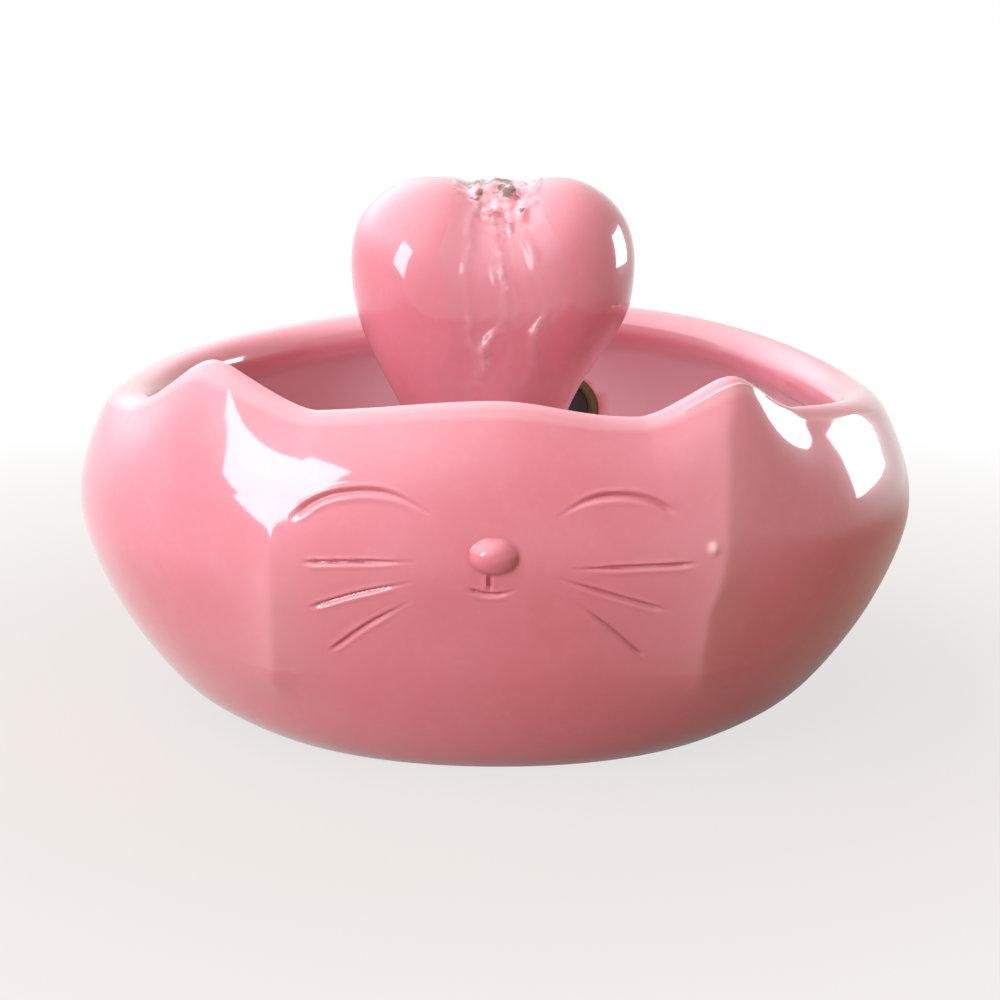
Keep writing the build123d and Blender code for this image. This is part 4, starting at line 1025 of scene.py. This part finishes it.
def moulded(name, first, second, patch_mm, grain_mm, depth_mm, shader_settings):
    """A moulded or pressed finish: two near colours in soft patches, and a fine grain in its surface."""
    material, tree, where = new_material(name)
    patches = {"Scale": 1000 / patch_mm, "Detail": 2.0}
    patches = add(tree, "TexNoise", patches, Vector=where).outputs[0]
    grain = {"Scale": 1000 / grain_mm, "Detail": 3.0}
    grain = add(tree, "TexNoise", grain, Vector=where).outputs[0]
    base = blend_colours(tree, patches, 0.38, 0.64, linear(first), linear(second))
    rough = shader_settings["Roughness"]
    uneven = {"From Min": 0.3, "From Max": 0.7, "To Min": rough * 0.85, "To Max": min(rough * 1.15, 1.0)}
    uneven = add(tree, "MapRange", uneven, Value=grain).outputs["Result"]
    bump = add(tree, "Bump", {"Strength": 0.5, "Distance": depth_mm * MM}, Height=grain).outputs[0]
    shader = add(
        tree, "BsdfPrincipled", shader_settings, Base_Color=base, Roughness=uneven, Normal=bump,
    )
    add(tree, "OutputMaterial", Surface=shader.outputs[0])
    return material


def layered_metal(name, axis, pitch_mm, waver, colours, ridge_mm, ridge_strength, shader_settings):
    """Metal in even layers or turns along an axis: a dark line between each two, and a ridge on each. Between
    stacked sheets that line is a real joint; between round turns of wire it is painted shade in the groove.
    """
    material, tree, where = new_material(name)
    layers = {"wave_type": "BANDS", "bands_direction": axis, "Distortion": waver}
    layers["Scale"] = 1000 / pitch_mm / (2 * math.pi)
    layers = add(tree, "TexWave", layers, Vector=where).outputs["Fac"]
    low, high, dark, bright = colours
    base = blend_colours(tree, layers, low, high, linear(dark), linear(bright))
    ridges = {"Strength": ridge_strength, "Distance": ridge_mm * MM}
    bump = add(tree, "Bump", ridges, Height=layers).outputs[0]
    shader = {"Metallic": 1.0, **shader_settings}
    shader = add(tree, "BsdfPrincipled", shader, Base_Color=base, Normal=bump)
    add(tree, "OutputMaterial", Surface=shader.outputs[0])
    return material


def open_cell_foam():
    """Reticulated polyurethane foam with pores about 0.8 mm across: dull, with painted shade darkening each
    pore.
    """
    material, tree, where = new_material("reticulated_foam")
    pores = add(tree, "TexVoronoi", {"Scale": 1250.0}, Vector=where).outputs["Distance"]
    # Painted shade: each pore is darker towards its middle, as shade in the hole.
    base = blend_colours(tree, pores, 0.1, 0.6, linear("14161B"), linear("4A505C"))
    bump = add(tree, "Bump", {"Strength": 1.0, "Distance": 0.0005}, Height=pores).outputs[0]
    shader = add(tree, "BsdfPrincipled", {"Roughness": 1.0}, Base_Color=base, Normal=bump)
    add(tree, "OutputMaterial", Surface=shader.outputs[0])
    return material


class OBJECT_OT_inner_finishes(bpy.types.Operator):
    """Give the grommet, the tubes and every piece of the pump its own finish"""

    bl_idname = "object.fountain_inner_finishes"
    bl_label = "Pump and Seal Finishes"

    def execute(self, context):
        finishes = {
            # Moulded nitrile rubber: near black, with the dull bloom that the mould's blasted face leaves.
            "moulded_nitrile_rubber": (
                ("1B1E22", "2A2E33", 9, 0.5, 0.05, {"Roughness": 0.62, "IOR": 1.52}),
                ("cable_grommet", "pump_cable_gland", "chamber_o_ring", "rear_shaft_bush", "front_shaft_bush",
                 "suction_cups"),
            ),
            # Pressed silicone sheet: olive, slightly waxy.
            "pressed_olive_silicone": (
                ("7C7648", "6A6640", 6, 0.6, 0.04, {"Roughness": 0.45, "IOR": 1.41}), ("grommet_ring",),
            ),
            # Extruded silicone: milky and soft, light goes a little way in.
            "extruded_milky_silicone": (
                ("DDE0DF", "CBD0D0", 12, 2.0, 0.03,
                 {"Roughness": 0.35, "IOR": 1.41, "Subsurface Weight": 0.4, "Subsurface Scale": 0.003}),
                ("outlet_bush", "riser_tube"),
            ),
            # ABS moulded in a spark-eroded tool: dark, even, with a fine leathery grain.
            "moulded_dark_abs": (
                ("23262A", "2B2F34", 14, 0.45, 0.04, {"Roughness": 0.48, "IOR": 1.54}),
                ("pump_housing", "strainer_cover"),
            ),
            # ABS moulded in a polished tool.
            "moulded_grey_abs": (
                ("7D838B", "888E96", 10, 0.8, 0.02, {"Roughness": 0.34, "IOR": 1.54}),
                ("chamber_cover", "outlet_nozzle", "flow_dial"),
            ),
            # Poured epoxy: glossy black with slow swells where it set.
            "poured_epoxy": (
                ("121214", "1C1C20", 8, 5.0, 0.12, {"Roughness": 0.14, "IOR": 1.55}), ("potting",),
            ),
            # Nylon with glass fibre: ivory, with faint streaks.
            "moulded_nylon": (
                ("E6DFCC", "D9D0BB", 5, 0.7, 0.03, {"Roughness": 0.4, "IOR": 1.53}), ("coil_bobbin",),
            ),
            # Pressed and sintered ferrite: charcoal, grainy.
            "sintered_ferrite": (
                ("2C2C2F", "3A3A3D", 2, 0.35, 0.05, {"Roughness": 0.66, "IOR": 2.2}), ("rotor_magnet",),
            ),
            # Acetal, white and slippery.
            "moulded_acetal": (
                ("ECECE6", "E0E0DA", 7, 0.8, 0.02, {"Roughness": 0.3, "IOR": 1.48}), ("impeller",),
            ),
            # Ground alumina ceramic: ivory white with a polished sheen.
            "ground_alumina": (
                ("F0ECE0", "E6E1D3", 3, 0.3, 0.01, {"Roughness": 0.16, "IOR": 1.76}), ("rotor_shaft",),
            ),
        }
        made = {}
        for name, (look, nodes) in finishes.items():
            material = moulded(name, *look)
            made.update({node: material for node in nodes})
        # Silicon-steel sheets 0.5 mm thick, varnished and stacked along Y: fine dark lines on dull grey.
        made["stator_core"] = layered_metal(
            "laminated_silicon_steel", "Y", 0.5, 0.2, (0.1, 0.5, "3A3B40", "8D9096"), 0.1, 0.5,
            {"Roughness": 0.42},
        )
        # Enamelled copper wire 0.3 mm across, wound side by side: rounded ridges under clear amber enamel,
        # with painted shade darkening the groove between each two turns.
        made["coil_winding"] = layered_metal(
            "enamelled_copper_wire", "X", 0.3, 0.4, (0.0, 0.6, "5E2A14", "C9773F"), 0.15, 0.8,
            {"Roughness": 0.28, "Coat Weight": 0.7, "Coat Roughness": 0.08},
        )
        made["prefilter_sponge"] = open_cell_foam()
        for node, material in made.items():
            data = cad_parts[node]
            for slot in data.material_slots:
                slot.material = material
        return {"FINISHED"}


# ---------------------------------------------------------------- stage
DAYLIGHT = (0.94, 0.97, 1.0)
AIM_HEIGHT = 0.08
# The camera: its place in metres, how many degrees it looks down and leans over, and its lens.
CAMERA_PLACE = (0, -0.48903, 0.17234)
CAMERA_DOWN, CAMERA_ROLL = 11.258, 0.35
FOCAL_LENGTH, SENSOR_WIDTH = 60.31, 36
LENS_SHIFT = (0.005, -0.0689)
# The room glows from the upper left, and is warm and dim on the right.
GLOW_TOWARD = (-0.785, -0.069, 0.616)
DIM_SHARE = 0.36
WARM_SIDE = (1.0, 0.7, 0.5, 1)
COOL_SIDE = (0.94, 0.96, 1.0, 1)
WHITE = (1, 1, 1, 1)


def lamp(name, direction, distance, size, power, roll=0.0):
    """A large soft rectangular lamp, in a direction given as degrees from the front and above level."""
    around, above = (math.radians(angle) for angle in direction)
    level = math.cos(above)
    place = Vector((math.sin(around) * level, -math.cos(around) * level, math.sin(above)))
    light = bpy.data.lights.new(name, "AREA")
    light.shape = "RECTANGLE"
    light.size, light.size_y = size
    light.energy = power
    light.color = DAYLIGHT
    holder = bpy.data.objects.new(name, light)
    bpy.context.scene.collection.objects.link(holder)
    holder.location = Vector((0, 0, AIM_HEIGHT)) + place * distance
    turned = (-place).to_track_quat("-Z", "Y").to_matrix() @ Matrix.Rotation(math.radians(roll), 3, "Z")
    holder.rotation_euler = turned.to_euler()
    holder.visible_camera = False
    return holder


def mirrored(tree, path):
    """1 for what the glaze mirrors or the water lets through, and 0 for light that has been scattered."""
    glossy, through = path.outputs["Is Glossy Ray"], path.outputs["Is Transmission Ray"]
    either = add(tree, "Math", {"operation": "MAXIMUM", 0: glossy, 1: through}).outputs[0]
    direct = {"operation": "LESS_THAN", 0: path.outputs["Diffuse Depth"], 1: 0.5}
    direct = add(tree, "Math", direct).outputs[0]
    return add(tree, "Math", {"operation": "MULTIPLY", 0: either, 1: direct}).outputs[0]


class OBJECT_OT_stage(bpy.types.Operator):
    """Make the pale floor, the soft lamps, the white surroundings and the camera"""

    bl_idname = "object.fountain_stage"
    bl_label = "Studio"

    def execute(self, context):
        scene, settings = context.scene, context.scene.fountain_stage
        mesh = bmesh.new()
        bmesh.ops.create_circle(mesh, cap_ends=True, segments=96, radius=4.0)
        floor = finish_piece(mesh, "floor", [])
        material, tree, where = new_material("white_floor")
        matt = add(tree, "BsdfDiffuse", {"Color": tuple(settings.floor)})
        away = add(tree, "VectorMath", {"operation": "LENGTH", 0: where}).outputs["Value"]
        # In the glaze the white comes closer on the left, where the room glows, than on the right.
        leftward = add(tree, "VectorMath", {"operation": "DISTANCE", 0: where, 1: (0.2, 0.0, 0.0)})
        leftward = leftward.outputs["Value"]
        path = add(tree, "LightPath")
        bright = add(tree, "Emission", {"Color": WHITE, "Strength": 1.0})
        # The floor whitens away from the fountain; near it the shadow stays, most of all in reflections.
        shares = []
        in_camera, in_glaze = path.outputs["Is Camera Ray"], mirrored(tree, path)
        for seen, near, far in ((in_camera, 0.74, away), (in_glaze, 0.2, leftward)):
            whiter = {"From Min": 0.14, "From Max": 0.42, "To Min": near, "To Max": 1.0, "Value": far}
            white = add(tree, "MapRange", whiter).outputs["Result"]
            both = {"operation": "MULTIPLY", 0: seen, 1: white}
            shares.append(add(tree, "Math", both).outputs[0])
        share = add(tree, "Math", {"operation": "MAXIMUM", 0: shares[0], 1: shares[1]}).outputs[0]
        both = add(tree, "MixShader", {0: share, 1: matt.outputs[0], 2: bright.outputs[0]})
        add(tree, "OutputMaterial", Surface=both.outputs[0])
        floor.data.materials.append(material)

        # A white room that glows softly from the left: white where it is seen, brighter in the glaze.
        world = bpy.data.worlds.new("white_room")
        world.use_nodes = True
        scene.world = world
        tree = world.node_tree
        tree.nodes.clear()
        path = add(tree, "LightPath")
        outward = add(tree, "TexCoord").outputs["Generated"]
        toward = {"operation": "DOT_PRODUCT", 0: outward, 1: GLOW_TOWARD}
        toward = add(tree, "VectorMath", toward).outputs["Value"]
        share = {"interpolation_type": "SMOOTHSTEP", "From Min": -0.1, "Value": toward}
        share = add(tree, "MapRange", share).outputs["Result"]
        lit = {"Value": share, "To Min": DIM_SHARE, "To Max": settings.glow}
        lit = add(tree, "MapRange", lit).outputs["Result"]
        tone = {"data_type": "RGBA", "Factor": share, 6: WARM_SIDE, 7: COOL_SIDE}
        tone = add(tree, "Mix", tone).outputs[2]
        # The mirrored glow dies away down to the horizon, where the white floor meets it.
        height = add(tree, "SeparateXYZ", Vector=outward).outputs["Z"]
        shine = {"Value": share, "To Min": 0.9, "To Max": settings.shine}
        shine = add(tree, "MapRange", shine).outputs["Result"]
        shown = {"interpolation_type": "SMOOTHSTEP", "From Max": 0.5, "To Min": 1.0, "To Max": shine}
        shown = add(tree, "MapRange", {**shown, "Value": height}).outputs["Result"]
        dim = add(tree, "Background", {"Color": tone, "Strength": lit})
        pale = add(tree, "Background", {"Color": WHITE, "Strength": shown})
        white = add(tree, "Background", {"Color": WHITE, "Strength": 1.0})
        room = {0: mirrored(tree, path), 1: dim.outputs[0], 2: pale.outputs[0]}
        room = add(tree, "MixShader", room)
        seen = {0: path.outputs["Is Camera Ray"], 1: room.outputs[0], 2: white.outputs[0]}
        add(tree, "OutputWorld", Surface=add(tree, "MixShader", seen).outputs[0])

        lamp("window", (-41, 15.5), 1.1, (0.27, 0.45), settings.window, roll=-30)
        overhead = lamp("overhead", (-70, 52), 1.3, (1.2, 1.2), settings.fill)
        overhead.visible_glossy = False
        # A second window behind on the right, that only the glaze shows.
        second = lamp("right_window", (109, 11), 1.1, (0.52, 0.42), settings.second)
        second.visible_diffuse = False
        scene.view_settings.view_transform = "Standard"

        camera = bpy.data.cameras.new("camera")
        camera.lens = FOCAL_LENGTH
        camera.sensor_width = SENSOR_WIDTH
        camera.shift_x, camera.shift_y = LENS_SHIFT
        holder = bpy.data.objects.new("camera", camera)
        scene.collection.objects.link(holder)
        above, roll = math.radians(CAMERA_DOWN), math.radians(CAMERA_ROLL)
        level = Vector((1, 0, 0))
        upright = Vector((0, math.sin(above), math.cos(above)))
        right = level * math.cos(roll) + upright * math.sin(roll)
        up = upright * math.cos(roll) - level * math.sin(roll)
        back = right.cross(up)
        turn = Matrix((right, up, back)).transposed().to_4x4()
        holder.matrix_world = Matrix.Translation(CAMERA_PLACE) @ turn
        scene.camera = holder
        return {"FINISHED"}


# ---------------------------------------------------------------- panel and running
class VIEW3D_PT_fountain(bpy.types.Panel):
    """Sizes, colours and the steps that make the fountain"""

    bl_label = "Fountain"
    bl_idname = "VIEW3D_PT_fountain"
    bl_space_type = "VIEW_3D"
    bl_region_type = "UI"
    bl_category = "Fountain"

    def draw(self, context):
        for group in ("fountain_glaze", "fountain_bowl", "fountain_heart", "fountain_stage"):
            settings = getattr(context.scene, group)
            box = self.layout.box()
            for name in settings.bl_rna.properties.keys():
                if name not in ("rna_type", "name"):
                    box.prop(settings, name)
        for step in STEPS:
            self.layout.operator(step.bl_idname)


GROUPS = {
    "fountain_glaze": GlazeSettings,
    "fountain_bowl": BowlSettings,
    "fountain_heart": HeartSettings,
    "fountain_stage": StageSettings,
}
STEPS = (
    OBJECT_OT_stage,
    OBJECT_OT_glazed_bowl,
    OBJECT_OT_glazed_heart,
    OBJECT_OT_running_water,
    OBJECT_OT_basin_water,
    OBJECT_OT_inner_finishes,
)


def register():
    for part in (*GROUPS.values(), *STEPS, VIEW3D_PT_fountain):
        bpy.utils.register_class(part)
    for name, group in GROUPS.items():
        setattr(bpy.types.Scene, name, PointerProperty(type=group))


def unregister():
    for name in GROUPS:
        delattr(bpy.types.Scene, name)
    for part in reversed((*GROUPS.values(), *STEPS, VIEW3D_PT_fountain)):
        bpy.utils.unregister_class(part)


def main():
    register()
    bpy.ops.object.fountain_stage()
    bpy.ops.object.fountain_glazed_bowl()
    bpy.ops.object.fountain_glazed_heart()
    bpy.ops.object.fountain_running_water()
    bpy.ops.object.fountain_basin_water()
    bpy.ops.object.fountain_inner_finishes()


if __name__ == "__main__":
    main()
